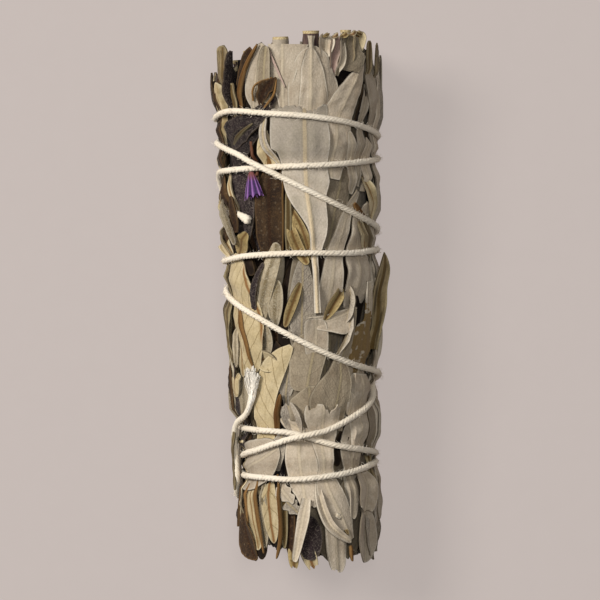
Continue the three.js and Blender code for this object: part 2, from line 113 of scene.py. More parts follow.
# %% [markdown]
# ## The course of the twine
# The twine starts as a cut end on the left, runs lengthwise under the leaves, goes round and
# round with crossing turns, and ends in a brushed-out tail. Each lap has the places seen in front
# as (across, along, depth) and those behind as (degrees, along, depth). A spline goes through
# them all, as a pen would, and the twine, its fuzz and the dents in the leaves all follow it.
# %% The laps
TWINE_RADIUS = 0.65
TWINE_DEPTH = 0.75  # of its middle below the outer leaves
OVER, UNDER = 0.25, 1.85  # where two turns cross
BACK_UNDER = 2.5
HIDDEN = 3.0
LAPS = [
    ([(-9.9, 15.8, 0.5), (-12.7, 17.3, 0.9), (-14.6, 16, 2.2), (-15.7, 11, HIDDEN),
      (-14.7, 0, HIDDEN), (-13.4, -15, HIDDEN), (-12.4, -25.4, 3.5), (-12, -30.4, 2.4),
      (-9.5, -30.2, 1.1), (-5, -28.6), (-1.6, -27.5, OVER), (2.4, -26.6, OVER),
      (5.7, -25.8), (10.6, -23.3), (14.3, -20.3), (16, -16.8, 1.6)],
     [(98, -14, UNDER), (116, -10), (140, -4.4), (170, 2.4, 1.4),
      (187, 6, BACK_UNDER), (205, 10, BACK_UNDER), (222, 13.8), (250, 20.4)]),
    ([(-16.1, 24.8), (-13.7, 25.8), (-9.6, 26.1, UNDER), (-6, 26.3, UNDER), (-1, 26.5),
      (6.1, 26.8), (16.2, 28.3)],
     [(120, 28.6), (150, 29.2), (168, 31.1, BACK_UNDER), (184, 33.1, BACK_UNDER),
      (204, 35.3), (235, 36.2)]),
    ([(-16.8, 36.3), (-13.7, 37.5), (-6, 36.9), (1.2, 36.4), (8.2, 35.5), (16.4, 32.8)],
     [(130, 32.5), (176, 32.1), (220, 31.8)]),
    ([(-16.4, 31.4), (-12.4, 29), (-9.4, 27.2, OVER), (-6.4, 25.7, OVER), (-3.5, 24.3),
      (1.2, 22), (8.4, 18.5), (13, 16.2), (16.2, 14.2)],
     [(130, 12.5), (170, 11.2), (205, 10.1), (240, 9)]),
    ([(-15.6, 7.8), (-9.8, 8.8), (0.2, 9.3), (10.2, 9.3), (16.4, 10.1)],
     [(130, 8.5), (160, 7.1), (187, 5.8), (230, 3.7)]),
    ([(-15.3, 1.8), (-9.8, -2.5), (-2, -6.9), (5.5, -10.6), (11.5, -13), (16.3, -14.7, OVER)],
     [(106, -15.6, OVER), (130, -16.8), (180, -20.1), (232, -23.5), (256, -24.8, 1.5)]),
    ([(-12.8, -25.4, UNDER), (-10.8, -25.6, UNDER), (-7.4, -25.9), (-1.6, -26.4, UNDER),
      (2.4, -27.5, UNDER), (8.2, -29), (16, -30.6)],
     [(135, -31.4), (180, -32.4), (230, -33.6), (256, -34.3, 1.5)]),
    ([(-12.5, -34.8, UNDER), (-6.9, -35.3), (-1, -35.6), (8.2, -34.6), (16, -32.3)],
     [(120, -33.6), (160, -35.7), (210, -38), (255, -39.4, 0.7), (269, -38.6, 0.4)]),
    ([(-12.4, -35.6, OVER), (-12.7, -31, OVER), (-12.9, -27.4, OVER), (-12.5, -24.8, OVER),
      (-10.6, -22.8, 0.5), (-9.5, -20, 0.5), (-9, -14.2, 0.5)],
     []),
]
print("places on the laps in front:", sum(len(front) for front, _ in LAPS))

# %% Splines


def spline(stops, fine=24):
    """Points on a smooth curve through the stops, closer where the stops are closer."""
    stops = np.asarray(stops, float)
    stops = np.vstack([2 * stops[0] - stops[1], stops, 2 * stops[-1] - stops[-2]])
    gaps = np.maximum(np.linalg.norm(np.diff(stops, axis=0), axis=1) ** 0.5, 1e-4)
    points = []
    for i in range(1, len(stops) - 2):
        a, b, c, d = stops[i - 1:i + 3]
        ab, bc, cd = gaps[i - 1:i + 2]
        leaving = ((b - a) / ab - (c - a) / (ab + bc) + (c - b) / bc) * bc
        arriving = ((c - b) / bc - (d - b) / (bc + cd) + (d - c) / cd) * bc
        t = np.linspace(0, 1, fine, endpoint=False)[:, None]
        points.append(b + leaving * t + (3 * (c - b) - 2 * leaving - arriving) * t**2
                      + (2 * (b - c) + leaving + arriving) * t**3)
    return np.vstack(points + [stops[-2:-1]])


def evenly(points, count):
    """The same curve with its points at equal distances."""
    length = np.append(0, np.cumsum(np.linalg.norm(np.diff(points, axis=0), axis=1)))
    wanted = np.linspace(0, length[-1], count)
    return np.stack([np.interp(wanted, length, column) for column in points.T], axis=1)


print("three stops give", len(spline([(0, 0), (1, 1), (2, 0)])), "points")

# %% The route
UNROLLED_RADIUS = 15  # the spline runs on the unrolled map, where a turn counts as its arc
ROUTE_POINTS = 3400


def lap_stops():
    stops = []
    for n, lap in enumerate(LAPS):
        for behind, places in enumerate(lap):
            for where, along, *depth in places:
                depth = depth[0] if depth else TWINE_DEPTH
                turn = math.radians(where) if behind else turn_seen(where, along, depth)
                stops.append([(turn + n * 2 * math.pi) * UNROLLED_RADIUS, along, depth])
    return stops


ROUTE = evenly(spline(lap_stops()), ROUTE_POINTS)
ROUTE[:, 0] /= UNROLLED_RADIUS
route_points = place(*ROUTE.T)
TWINE_LENGTH = np.linalg.norm(np.diff(route_points, axis=0), axis=1).sum()
print("twine:", round(TWINE_LENGTH), "mm long")

# %% [markdown]
# ## Dents under the twine
# Tight twine presses the leaves in, most right under it and less for a few millimetres on both
# sides. Working that out for each point of each leaf is slow, so it is done once, for the cells
# of a grid over the map, which then say how deep the leaves are held. A leaf that is too high
# there is moved down, and the leaves beneath it keep their order.
# %% The dent map
DENT_CELL = 0.3  # mm
DENT_REACH = 4.0  # mm on each side of the twine
MAP_START, MAP_LENGTH = -58, 116  # mm along the bundle
COVERED = 2.7  # deeper twine runs under the leaves and dents nothing
SQUEEZED = 0.65  # how much the layers close up under the twine
CLEAR_OF_TWINE = 0.12  # mm between the twine and the leaf beneath it
LOWERED = 0.35  # mm, since cupped and folded leaves stand out of their layer
dent_turns = int(2 * math.pi * UNROLLED_RADIUS / DENT_CELL)
dent_rows = int(MAP_LENGTH / DENT_CELL)


def dent_maps():
    weight = np.zeros((dent_turns, dent_rows))
    target = np.zeros_like(weight)
    reach = int(DENT_REACH / DENT_CELL) + 1
    window = np.arange(-reach, reach + 1)
    for turn, along, depth in ROUTE[::2]:
        if depth > COVERED:
            continue
        column = turn * UNROLLED_RADIUS / DENT_CELL
        row = (along - MAP_START) / DENT_CELL
        columns, rows = int(column) + window, int(row) + window
        apart = np.hypot(columns[:, None] - column, rows[None, :] - row) * DENT_CELL
        near = 1 - smooth(0.6, DENT_REACH, apart)
        cells = np.ix_(columns % dent_turns, rows)
        weight[cells] = np.maximum(weight[cells], near)
        held = near * (depth + TWINE_RADIUS + CLEAR_OF_TWINE)
        target[cells] = np.maximum(target[cells], held)
    return weight, target


DENT_WEIGHT, DENT_TARGET = dent_maps()


def pressed(turn, along, depth):
    """The depth of a leaf once the twine has pressed it."""
    column = np.mod(turn * UNROLLED_RADIUS / DENT_CELL, dent_turns)
    row = np.clip((along - MAP_START) / DENT_CELL, 0, dent_rows - 2)
    i, j = column.astype(int), row.astype(int)
    u, v = column - i, row - j
    near = [(i % dent_turns, j, (1 - u) * (1 - v)), ((i + 1) % dent_turns, j, u * (1 - v)),
            (i % dent_turns, j + 1, (1 - u) * v), ((i + 1) % dent_turns, j + 1, u * v)]
    weight = sum(DENT_WEIGHT[a, b] * share for a, b, share in near)
    target = sum(DENT_TARGET[a, b] * share for a, b, share in near)
    depth = depth + LOWERED
    squeeze = SQUEEZED * weight * np.maximum(depth, 0)
    return depth + np.maximum(0, target - squeeze - LOWERED * weight)


print("cells with a dent:", int((DENT_WEIGHT > 0.1).sum()), "of", DENT_WEIGHT.size)

# %% [markdown]
# ## One sheet for every leaf
# A leaf is a thin sheet. It could be drawn with curves and filled, but then it can't be bent
# both ways. So each starts as Blender's flat grid, one unit square, whose points are then moved
# all at once: the grid's two directions become "across the leaf" and "along the leaf". A grid of
# each size is added only once, and each leaf gets its own copy.
# %% Grids and their copies
GRIDS = {}


def grid_copy(name, columns, rows):
    """A copy of the unit grid and, for each of its points, -1 to 1 across and 0 to 1 along."""
    if (columns, rows) not in GRIDS:
        bpy.ops.mesh.primitive_grid_add(x_subdivisions=columns, y_subdivisions=rows, size=1)
        made = bpy.context.object
        flat = np.empty(len(made.data.vertices) * 3)
        made.data.vertices.foreach_get("co", flat)
        flat = flat.reshape(-1, 3)
        GRIDS[columns, rows] = made.data, flat[:, 0] * 2, flat[:, 1] + 0.5
        bpy.data.objects.remove(made)
    data, across, along = GRIDS[columns, rows]
    piece = bpy.data.objects.new(name, data.copy())
    bpy.context.collection.objects.link(piece)
    return piece, across, along


def set_points(piece, points):
    """Moves the piece's points to these, given in millimetres."""
    metres = (points + [0, CENTRED, 0]) * MM
    piece.data.vertices.foreach_set("co", metres.ravel())
    piece.data.update()


def set_numbers(piece, name, *columns):
    """Stores up to three numbers for each point, which a material can read."""
    values = np.zeros((len(piece.data.vertices), 3))
    for i, column in enumerate(columns):
        values[:, i] = column
    layer = piece.data.attributes.new(name, "FLOAT_VECTOR", "POINT")
    layer.data.foreach_set("vector", values.ravel())


def select(*pieces):
    bpy.ops.object.select_all(action="DESELECT")
    for piece in pieces:
        piece.select_set(True)
    bpy.context.view_layer.objects.active = pieces[0]


def joined(name, pieces):
    select(*pieces)
    bpy.ops.object.join()
    pieces[0].name = pieces[0].data.name = name
    return pieces[0]


def apply_modifier(piece, kind, **settings):
    bpy.context.view_layer.objects.active = piece
    modifier = piece.modifiers.new(kind.title(), kind)
    for key, value in settings.items():
        setattr(modifier, key, value)
    bpy.ops.object.modifier_apply(modifier=modifier.name)


SEED = 11
chance = np.random.default_rng(SEED)
NARROWEST = 0.55  # of a leaf's width, seen from above
LAYER_STEP = 1.5  # dry leaves don't lie tight on each other
print("every leaf, thread and hair is drawn from seed", SEED)

# %% [markdown]
# ## The shape of a sage leaf
# A white sage leaf is a long oval on a short flat stalk, with a rib down its middle. Dry, it
# cups or folds along the rib, its edges roll, and its blade waves a little. The form below has a
# number for each of these habits, so that a leaf is one row in a list. Its line runs from the
# stalk to the tip on the map, and the two halves can get widths of their own where a leaf is
# torn or folded over. The root is sunk under its neighbours.
# %% The habits of a leaf
LEAF_FORM = dict(
    stalk=0.14,  # share of the length that is stalk
    stalk_width=1.3,
    widest=0.5,  # where the blade is widest, as a share of its length
    blunt=0.52,  # of the tip: 1 is pointed and 0.4 is round
    sink=1.4,  # how much deeper the root lies
    lift=0.0,  # how far the tip stands out
    roll=0.0,  # degrees about its own length: 90 shows its edge
    twist=0.0,  # degrees of roll that it gains from root to tip
    cup=0.07,  # edges up, as a share of the half width
    fold=0.0,  # slope of both halves
    curl=0.02,  # how far the edges roll down
    wave=0.12,  # mm, along the edges
    crumple=0.17,  # mm
    rib=0.16,  # mm that the rib stands out
    rib_at=0.0,  # mm from the leaf's middle line to its rib
    tear=0.0,  # share of the length that is torn off unevenly
    ragged=0.0,  # share of the width that is nibbled from the edges
    ripple=1.1,  # mm between crumples across the leaf
    grid=(14, 48),
    stain=None,  # (across, along, radius) of a brown patch
    pressing=1.0,  # share of the twine's pressing that it feels
    shade=None,  # tone, partly the leaf's own and partly painted shade: 1 is the lightest of its kind, and -1 is as dark as soil
    painted_tip_shade=0.0,  # painted shade: how much darker the tip is drawn than the root
)
print("habits of a leaf:", len(LEAF_FORM))

# %% Uneven numbers and outlines


def uneven(seed, *coordinates):
    """Smooth irregular numbers between about -1 and 1, the same each time for one seed."""
    dice = np.random.default_rng(seed)
    total = 0
    for size in (1, 1.9, 3.7):
        ways = dice.normal(size=len(coordinates)) * size
        total = total + np.sin(sum(w * c for w, c in zip(ways, coordinates))
                               + dice.uniform(0, 6.3)) / size**0.7
    return total / 1.6


def half_widths(form, width, share, side):
    if isinstance(width, list):  # an outline takes the place of the oval
        knots = spline(width, 8)
        left = np.interp(share, knots[:, 0], knots[:, 1])
        right = np.interp(share, knots[:, 0], knots[:, 2])
        return np.where(side < 0, left, right)
    blade = np.clip((share - form["stalk"]) / (1 - form["stalk"]), 0, 1)
    bent = blade ** (math.log(0.5) / math.log(form["widest"]))
    oval = np.maximum(np.sin(np.pi * bent), 0) ** form["blunt"]
    stalk = form["stalk_width"] / 2 * (1 - smooth(0.3, 1, blade))
    return np.maximum(np.maximum(oval * width / 2, stalk), 0.12)


print("widest half of a plain leaf, 10 mm wide:",
      half_widths(LEAF_FORM, 10, np.linspace(0, 1, 50), 1).max().round(1), "mm")

# %% One leaf
LINE_POINTS = 60
RIB_SPREAD = 0.42  # mm from the rib's top to its flanks


def leaf(finish, width, depth, line, seen=True, **changes):
    form = {**LEAF_FORM, **changes}
    seed = int(chance.integers(1 << 30))
    piece, side, share = grid_copy("leaf", *form["grid"])
    if seen:
        depth *= LAYER_STEP
    stops, turns = [], []
    for across, along in line:
        turns.append(turn_seen(across, along, depth) if seen else math.radians(across))
        stops.append([turns[-1] * (ring_at(along)[1] - depth), along])
    # a width judged from above is narrowed where the leaf lies on the bundle's side
    widened = 1 / max(math.cos(np.mean(turns)), NARROWEST) if seen else 1
    middle = evenly(spline(stops, 12), LINE_POINTS)
    ahead = np.gradient(middle, axis=0)
    ahead /= np.linalg.norm(ahead, axis=1)[:, None]
    length = np.linalg.norm(np.diff(middle, axis=0), axis=1).sum()
    torn = form["tear"] * (0.6 + 0.8 * uneven(seed + 1, side * 4))
    share = share * (1 - np.clip(torn, 0, 0.5))
    nibbled = 1 - form["ragged"] * np.abs(uneven(seed + 2, share * length * 0.8, side > 0))
    half = half_widths(form, width, share, side) * widened * nibbled
    on_leaf, down = side * half, share * length
    edge = np.abs(side)
    rise = form["cup"] * half * side**2 + form["fold"] * np.abs(on_leaf)
    rise -= form["curl"] * np.minimum(half, 4) * smooth(0.72, 1, edge) * 2
    rise += form["wave"] * side**2 * np.sin(down * 0.55 + 2 * (side > 0) + seed % 7)
    rise += form["crumple"] * uneven(seed + 3, on_leaf / form["ripple"], down / 3)
    from_rib = on_leaf - form["rib_at"]
    rise += form["rib"] * np.exp(-(from_rib / RIB_SPREAD) ** 2) * (1 - 0.7 * share)
    angle = np.radians(form["roll"] + form["twist"] * (share - 0.5))
    sideways = on_leaf * np.cos(angle) - rise * np.sin(angle)
    out = on_leaf * np.sin(angle) + rise * np.cos(angle)
    at = share * (len(middle) - 1)
    arc, along = (np.interp(at, range(len(middle)), column) for column in middle.T)
    go_arc, go_along = (np.interp(at, range(len(middle)), column) for column in ahead.T)
    arc, along = arc + sideways * go_along, along - sideways * go_arc
    turn = arc / (ring_at(along)[1] - depth)
    lies = depth + form["sink"] * (1 - smooth(0, 0.3, share)) - form["lift"] * smooth(0.5, 1, share)
    depths = lies - out
    depths += form["pressing"] * (pressed(turn, along, depths) - depths)
    set_points(piece, place(turn, along, depths))
    rim = np.minimum((1 - edge) * half, (1 - share) * length)
    set_numbers(piece, "leaf_mm", from_rib, down, rim)
    stain = 0 * share
    if form["stain"]:
        x, y, radius = form["stain"]
        stain = 1 - smooth(0.5, 1.2, np.hypot(on_leaf - x, (down - y) * 0.6) / radius)
    shade = chance.uniform(0.1, 1) if form["shade"] is None else form["shade"]
    tone = shade - form["painted_tip_shade"] * smooth(0.5, 0.85, share)
    set_numbers(piece, "leaf_tone", tone, stain, chance.uniform(0, 50))
    piece.data.materials.append(FINISHES[finish])
    return piece


print("a leaf of this form has", 2 * math.prod(LEAF_FORM["grid"]), "triangles a side")

# %% [markdown]
# ## Mixing colours
# Colours are written as the hex values that one reads off a screen. Blender counts light, so one
# function turns them linear. A second one adds a node with its settings and its links, which
# keeps each material a short list. A third gives a pattern its scale from its real size.
# %% Colour and node helpers


def colour(code):
    parts = [int(code[i:i + 2], 16) / 255 for i in (0, 2, 4)]
    linear = [p / 12.92 if p <= 0.04045 else ((p + 0.055) / 1.055) ** 2.4 for p in parts]
    return (*linear, 1)


def node(tree, kind, settings=None, links=None):
    """Adds a node. Settings name its inputs or its properties, and links name its inputs."""
    made = tree.nodes.new(kind)
    for key, value in (settings or {}).items():
        if isinstance(key, int) or key in made.inputs:
            made.inputs[key].default_value = value
        else:
            setattr(made, key, value)
    for key, socket in (links or {}).items():
        tree.links.new(socket, made.inputs[key])
    return made


def new_material(name):
    """A material with an empty tree but for its output."""
    made = bpy.data.materials.new(name)
    made.use_nodes = True
    made.node_tree.nodes.clear()
    return made, made.node_tree, node(made.node_tree, "ShaderNodeOutputMaterial")


def per(size):
    """The scale of a pattern in metres whose features are this many millimetres wide."""
    return 1 / (size * MM)


print("white is", colour("ffffff"), "and 5 mm patches have scale", round(per(5)))

# %% [markdown]
# ## Felted leaves
# White sage leaves carry a felt of tiny hairs, which scatters light: no gloss and soft shading.
# Their rim is drawn paler, partly for the felt seen edge on and partly as a painted highlight where
# the edge catches the light, and the grooves beside the rib get painted shade. Under the felt lie
# the rib, side veins and a net of fine ones. Dead lower leaves lose the felt and turn brown, plum
# or straw yellow. All are one kind of surface, so one function makes them and each finish is a set
# of colours and strengths. The veins follow each leaf's own numbers: millimetres across, along and
# in from its rim.
# %% The leaf material
VEIN_SLOPE = 1.15  # how steeply side veins climb towards the tip
VEIN_WANDER = 1.6  # mm
NET_CELL = 0.75  # mm
CUT_EDGE = "4a3a26"  # the cut of the edge itself has dried darker


def leaf_finish(name, blade, patch, rib, rim, vein, stain="6b4a22", spacing=2.1, veins=0.25,
                net=0.2, wool=0.0, streaks=0.0, specks=0.0, rib_width=0.5, rim_light=0.5,
                flanks=0.35, sheen=0.06):
    made, tree, output = new_material(name)
    place_in = node(tree, "ShaderNodeTexCoord").outputs["Object"]
    leaf_mm = node(tree, "ShaderNodeAttribute", {"attribute_name": "leaf_mm"}).outputs["Vector"]
    tone = node(tree, "ShaderNodeAttribute", {"attribute_name": "leaf_tone"}).outputs["Vector"]
    across, down, in_from_rim = node(tree, "ShaderNodeSeparateXYZ", {}, {0: leaf_mm}).outputs
    shade, stained, offset = node(tree, "ShaderNodeSeparateXYZ", {}, {0: tone}).outputs
    away = node(tree, "ShaderNodeMath", {"operation": "ABSOLUTE"}, {0: across}).outputs[0]
    # felt, whose hairs are too fine to show, so it is drawn as tufts of 0.35 mm; patches of 5 mm
    # where it is thin; the crust that makes a stain's edge uneven; the swirls of curly hairs
    felt, mottle, crust, swirl = [
        node(tree, "ShaderNodeTexNoise", {"Scale": per(size), **settings},
             {"Vector": place_in}).outputs["Fac"]
        for size, settings in ((0.35, {"Detail": 3.0}),
                               (5, {"Detail": 4.0, "Roughness": 0.62, "Distortion": 0.6}),
                               (1.6, {"Detail": 3.0}),
                               (1.1, {"Detail": 2.0, "Distortion": 2.2}))]
    # lengthwise streaks 0.5 mm apart, as on bark-like stalks and folded leaves
    long_way = node(tree, "ShaderNodeMapping", {"Scale": (2.0, 0.16, 1.0)},
                    {"Vector": leaf_mm}).outputs[0]
    grain = node(tree, "ShaderNodeTexNoise",
                 {"Scale": 1.0, "Detail": 3.0, "noise_dimensions": "4D"},
                 {"Vector": long_way, "W": offset}).outputs["Fac"]
    # side veins climb from the rib at their spacing
    climb = node(tree, "ShaderNodeMath", {"operation": "MULTIPLY", 1: VEIN_SLOPE}, {0: away})
    level = node(tree, "ShaderNodeMath", {"operation": "SUBTRACT"}, {0: down, 1: climb.outputs[0]})
    wander = node(tree, "ShaderNodeMath", {"operation": "MULTIPLY_ADD", 1: VEIN_WANDER},
                  {0: mottle, 2: level.outputs[0]})
    zigzag = node(tree, "ShaderNodeMath", {"operation": "PINGPONG", 1: spacing / 2},
                  {0: wander.outputs[0]}).outputs[0]
    # a net of the finest veins, and gland dots 0.9 mm apart
    cells = node(tree, "ShaderNodeTexVoronoi",
                 {"feature": "DISTANCE_TO_EDGE", "Scale": 1 / NET_CELL},
                 {"Vector": leaf_mm}).outputs["Distance"]
    dots = node(tree, "ShaderNodeTexVoronoi", {"Scale": per(0.9)},
                {"Vector": place_in}).outputs["Distance"]
    eaten = node(tree, "ShaderNodeMath", {"operation": "MULTIPLY_ADD", 1: 1.6},
                 {0: crust, 2: stained}).outputs[0]
    # wool: curly hairs are where the swirls pass their middle value
    off_middle = node(tree, "ShaderNodeMath", {"operation": "SUBTRACT", 1: 0.5}, {0: swirl})
    off_middle = node(tree, "ShaderNodeMath", {"operation": "ABSOLUTE"},
                      {0: off_middle.outputs[0]}).outputs[0]
    # what each mask follows, the range in which it changes, and its values at both ends of it
    ranges = {
        "patches": (mottle, 0.42, 0.66, 0.0, 1.0),
        "streaks": (grain, 0.48, 0.6, 0.0, streaks),
        "veins": (zigzag, 0.0, 0.2, 1.0, 0.0),
        "net": (cells, 0.0, 0.16, 1.0, 0.0),
        "dots": (dots, 0.12, 0.3, specks, 0.0),
        # painted shade: the grooves beside the rib darkened with the vein colour
        "flanks": (away, rib_width, rib_width * 1.9, flanks, 0.0),
        "rib": (away, rib_width * 0.55, rib_width, 0.85, 0.0),
        # the rim: paler partly for the felt seen edge on and partly as a painted highlight where
        # the edge catches the light
        "rim": (in_from_rim, 0.1, 0.42, rim_light, 0.0),
        "cut edge": (in_from_rim, 0.02, 0.09, 0.75, 0.0),
        "stains": (eaten, 1.62, 1.68, 0.0, 0.9),
        "wool": (off_middle, 0.012, 0.035, wool, 0.0),
        "felt's light": (felt, 0.3, 0.7, 0.88, 1.09),
        "leaf's light": (shade, -1.0, 1.0, 0.36, 1.14),
    }
    masks = {
        mask: node(tree, "ShaderNodeMapRange",
                   {"From Min": start, "From Max": end, "To Min": low, "To Max": high},
                   {"Value": value}).outputs[0]
        for mask, (value, start, end, low, high) in ranges.items()}
    # the colours lie on each other from the blade up to the wool
    base = node(tree, "ShaderNodeMix", {"data_type": "RGBA", 6: colour(blade), 7: colour(patch)},
                {0: masks["patches"]}).outputs[2]
    strengths = {"veins": veins, "net": net}  # of the two that the relief needs in full
    for mask, tint in (("streaks", vein), ("veins", vein), ("net", vein), ("dots", stain),
                       ("flanks", vein), ("rib", rib), ("rim", rim), ("cut edge", CUT_EDGE),
                       ("stains", stain), ("wool", rim)):
        share = masks[mask]
        if mask in strengths:
            share = node(tree, "ShaderNodeMath", {"operation": "MULTIPLY", 1: strengths[mask]},
                         {0: share}).outputs[0]
        base = node(tree, "ShaderNodeMix", {"data_type": "RGBA", 7: colour(tint)},
                    {0: share, 6: base}).outputs[2]
    # each leaf a little lighter or darker, by its own tone and by painted shade, and the felt
    # uneven
    light = node(tree, "ShaderNodeMath", {"operation": "MULTIPLY"},
                 {0: masks["felt's light"], 1: masks["leaf's light"]}).outputs[0]
    base = node(tree, "ShaderNodeVectorMath", {"operation": "SCALE"},
                {0: base, "Scale": light}).outputs[0]
    relief = felt
    for height, part in ((2 * veins, masks["veins"]), (2 * net, masks["net"]),
                         (1.2 * streaks, grain), (1.5, masks["wool"])):
        relief = node(tree, "ShaderNodeMath", {"operation": "MULTIPLY_ADD", 1: height},
                      {0: part, 2: relief}).outputs[0]
    bump = node(tree, "ShaderNodeBump", {"Strength": 0.55, "Distance": 0.12 * MM},
                {"Height": relief}).outputs[0]
    surface = node(tree, "ShaderNodeBsdfPrincipled",
                   {"Roughness": 0.92, "Specular IOR Level": 0.12, "Sheen Weight": sheen,
                    "Sheen Roughness": 0.6}, {"Base Color": base, "Normal": bump})
    tree.links.new(surface.outputs[0], output.inputs["Surface"])
    return made


print("side veins climb", VEIN_SLOPE, "mm for each mm away from the rib")

# %% Leaf finishes
# blade, its thin patches, rib, rim (partly painted highlight) and veins (also the painted rib
# shade)
FINISHES = {
    # soft grey-buff felt with hardly a vein: the calm, pale body of the bundle
    "pale": leaf_finish("felted sage leaf", "b7a995", "a3937e", "b8a991", "cbc2b0", "867a65",
                        veins=0.11, net=0.13, rib_width=0.3, streaks=0.12, stain="755c30"),
    # the same felt with a broad pale rib, which leads the eye down the largest leaf
    "ribbed": leaf_finish("felted sage leaf with a broad rib", "b6aa9a", "a99e8c", "c0ad8d",
                          "d2c9b9", "8b7f69", veins=0.16, net=0.14, rib_width=0.5),
    # worn felt, browner and netted, and darker as painted shade: sets the lower leaves back from
    # the fresh ones
    "aged": leaf_finish("worn felted leaf in painted shade", "998b75", "867762", "9d8e70", "b3a790", "685b47",
                        veins=0.22, net=0.22, rib_width=0.3, streaks=0.1),
    # a leaf's back with raised veins: a fine drawing between plain neighbours
    "grey": leaf_finish("veined grey leaf", "9b9081", "a29683", "a19172", "b7ae9d", "72675b",
                        veins=0.35, net=0.4, rib_width=0.25),
    # straw yellow with clear brown veins: the warm light patches on the left
    "cream": leaf_finish("straw coloured leaf", "b2a07b", "c1b08d", "7c5229", "cdbe9d", "7a6236",
                         spacing=3.4, veins=0.65, net=0.08, streaks=0.15, rib_width=0.35),
    # matted hairs over olive buff: a broken, fleecy light
    "woolly": leaf_finish("woolly leaf", "93846a", "b5a68b", "6f6146", "c2b7a0", "5b503c",
                          wool=0.45, streaks=0.4, net=0.1, rib_width=0.4),
    # dotted tan: small crisp scraps that look brittle
    "tan": leaf_finish("tan leaf", "8f7a4f", "a38d61", "5f4423", "b3a074", "54401f",
                       specks=0.5, streaks=0.25, stain="3a2a16", rib_width=0.3),
    # deep brown suede with pale flecks: the dark ground behind the calyx
    "brown": leaf_finish("brown suede leaf", "2d2118", "4a3825", "2f1d11", "6a4f31", "20160f",
                         specks=0.3, wool=0.3, streaks=0.3, stain="7a6c58", sheen=0.02),
    # nearly black plum under white hairs: the darkest leaves, and still hairy
    "plum": leaf_finish("plum woolly leaf", "211a1a", "2f2525", "2b2122", "85796d", "140f0f",
                        wool=0.4, streaks=0.1, flanks=0.1, stain="6f675e", rim_light=0.2,
                        sheen=0.02),
    # streaked olive: stiff stalks and folded leaves seen edge on
    "olive": leaf_finish("olive stalk", "746446", "978461", "56421f", "b0a37f", "3a2f1c",
                         streaks=0.8, veins=0.0, net=0.0, flanks=0.1),
    # light streaked strips: thin bright lines between the dark leaves
    "strip": leaf_finish("cream strip", "ad9a73", "c4b38f", "79552a", "d0c6a8", "6b5229",
                         streaks=0.5, veins=0.0, net=0.0, rib_width=0.2, flanks=0.1),
    # warm brown ribs laid bare: orange accents along the leaves' edges
    "rib": leaf_finish("bared rib", "6a4828", "8a683c", "573919", "977548", "3b2613",
                       streaks=0.7, veins=0.0, net=0.0, flanks=0.0, sheen=0.03),
    # a breath of pink on a pale rib
    "rose": leaf_finish("rosy rib", "a48c80", "b09c8c", "9a7f74", "b7a696", "86695c",
                        streaks=0.3, veins=0.0, net=0.0),
    # painted shade: near-black leaves that stand for the shade deep in every gap
    "dark": leaf_finish("inner leaf in painted shade", "1d150f", "2e2219", "1a120c", "3d3021", "0c0806",
                        streaks=0.5, wool=0.03, sheen=0.01),
}
print("leaf finishes:", ", ".join(FINISHES))

# %% [markdown]
# ## The leaves on top
# These leaves are seen from close by, so each is placed one by one. They are grouped by the sprig
# that they grow from. A row gives the finish, the width or the widths along it, the depth of its
# layer, the line from its root to its tip, and whatever habits set it apart. Rows with a greater
# depth lie beneath.
# Rows of the dark finish are painted shade: near-black strips and patches laid where a gap between
# leaves lies in shadow.
# %% Habits and outlines that return
ROUND = dict(blunt=0.5)
STRIP = dict(stalk=0, stalk_width=0.5, widest=0.5, blunt=0.35, grid=(8, 44), rib=0.05, sink=0.8)
EDGE_ON = dict(STRIP, roll=62, cup=0.3, fold=0.3)
FOLDED = dict(fold=0.55, cup=0.2, grid=(10, 40))
FLARED = dict(stalk=0, widest=0.78, blunt=0.32, fold=0.6, cup=0.25, tear=0.07, grid=(12, 30),
              sink=0.6)
RIB = dict(stalk=0, stalk_width=0.4, widest=0.4, blunt=0.3, grid=(6, 40), rib=0.5, curl=0.5,
           cup=0, wave=0, sink=0.3, crumple=0.05)
CRUMB = dict(STRIP, grid=(6, 10), tear=0.3)
# outlines: share of the length, then the widths to both sides of the line in mm
SHOULDERS = [(0, 0.85, 0.8), (0.06, 0.6, 0.6), (0.13, 0.5, 0.5), (0.17, 0.9, 1), (0.24, 1.6, 1.4),
             (0.38, 2.6, 2), (0.55, 3.3, 2.1), (0.75, 3.8, 2.4), (1, 3.7, 2.6)]
SHOULDERS_BEHIND = [(0, 0.5, 0.5), (0.05, 1.9, 2.1), (0.13, 3, 3.3), (0.3, 4, 4.5),
                    (0.45, 5.1, 5), (0.55, 5.3, 5.2), (0.7, 4.3, 5.2), (0.85, 3, 5.1),
                    (1, 2.4, 5)]
FUNNEL = [(0, 5.4, 3), (0.06, 4.8, 3), (0.2, 3.6, 2.8), (0.45, 2.3, 2.3), (0.7, 1.4, 1),
          (1, 1, 0.5)]
DRAPED = [(0, 1.1, 0.6), (0.12, 1.4, 0.8), (0.25, 1.9, 1.5), (0.45, 2.6, 2.7), (0.6, 2.9, 3.2),
          (0.8, 2.7, 3), (1, 1.6, 2)]
SHELL = [(0, 0.2, 0.2), (0.16, 0.4, 0.5), (0.26, 0.5, 3.2), (0.5, 0.6, 3.5), (0.8, 1.3, 2.2),
         (1, 1.7, 1.5)]
TORN = [(0, 0.3, 1.1), (0.12, 1.4, 1.5), (0.3, 1.2, 1.7), (0.5, 1.7, 1.1), (0.62, 1, 1.4),
        (0.8, 1.3, 0.6), (1, 0.1, 0.3)]
TRIANGLE = [(0, 0.2, 0.2), (0.2, 1, 0.7), (0.45, 2.2, 1.4), (0.7, 2.8, 2.2), (0.9, 2.5, 2.8),
            (1, 1.8, 2.4)]
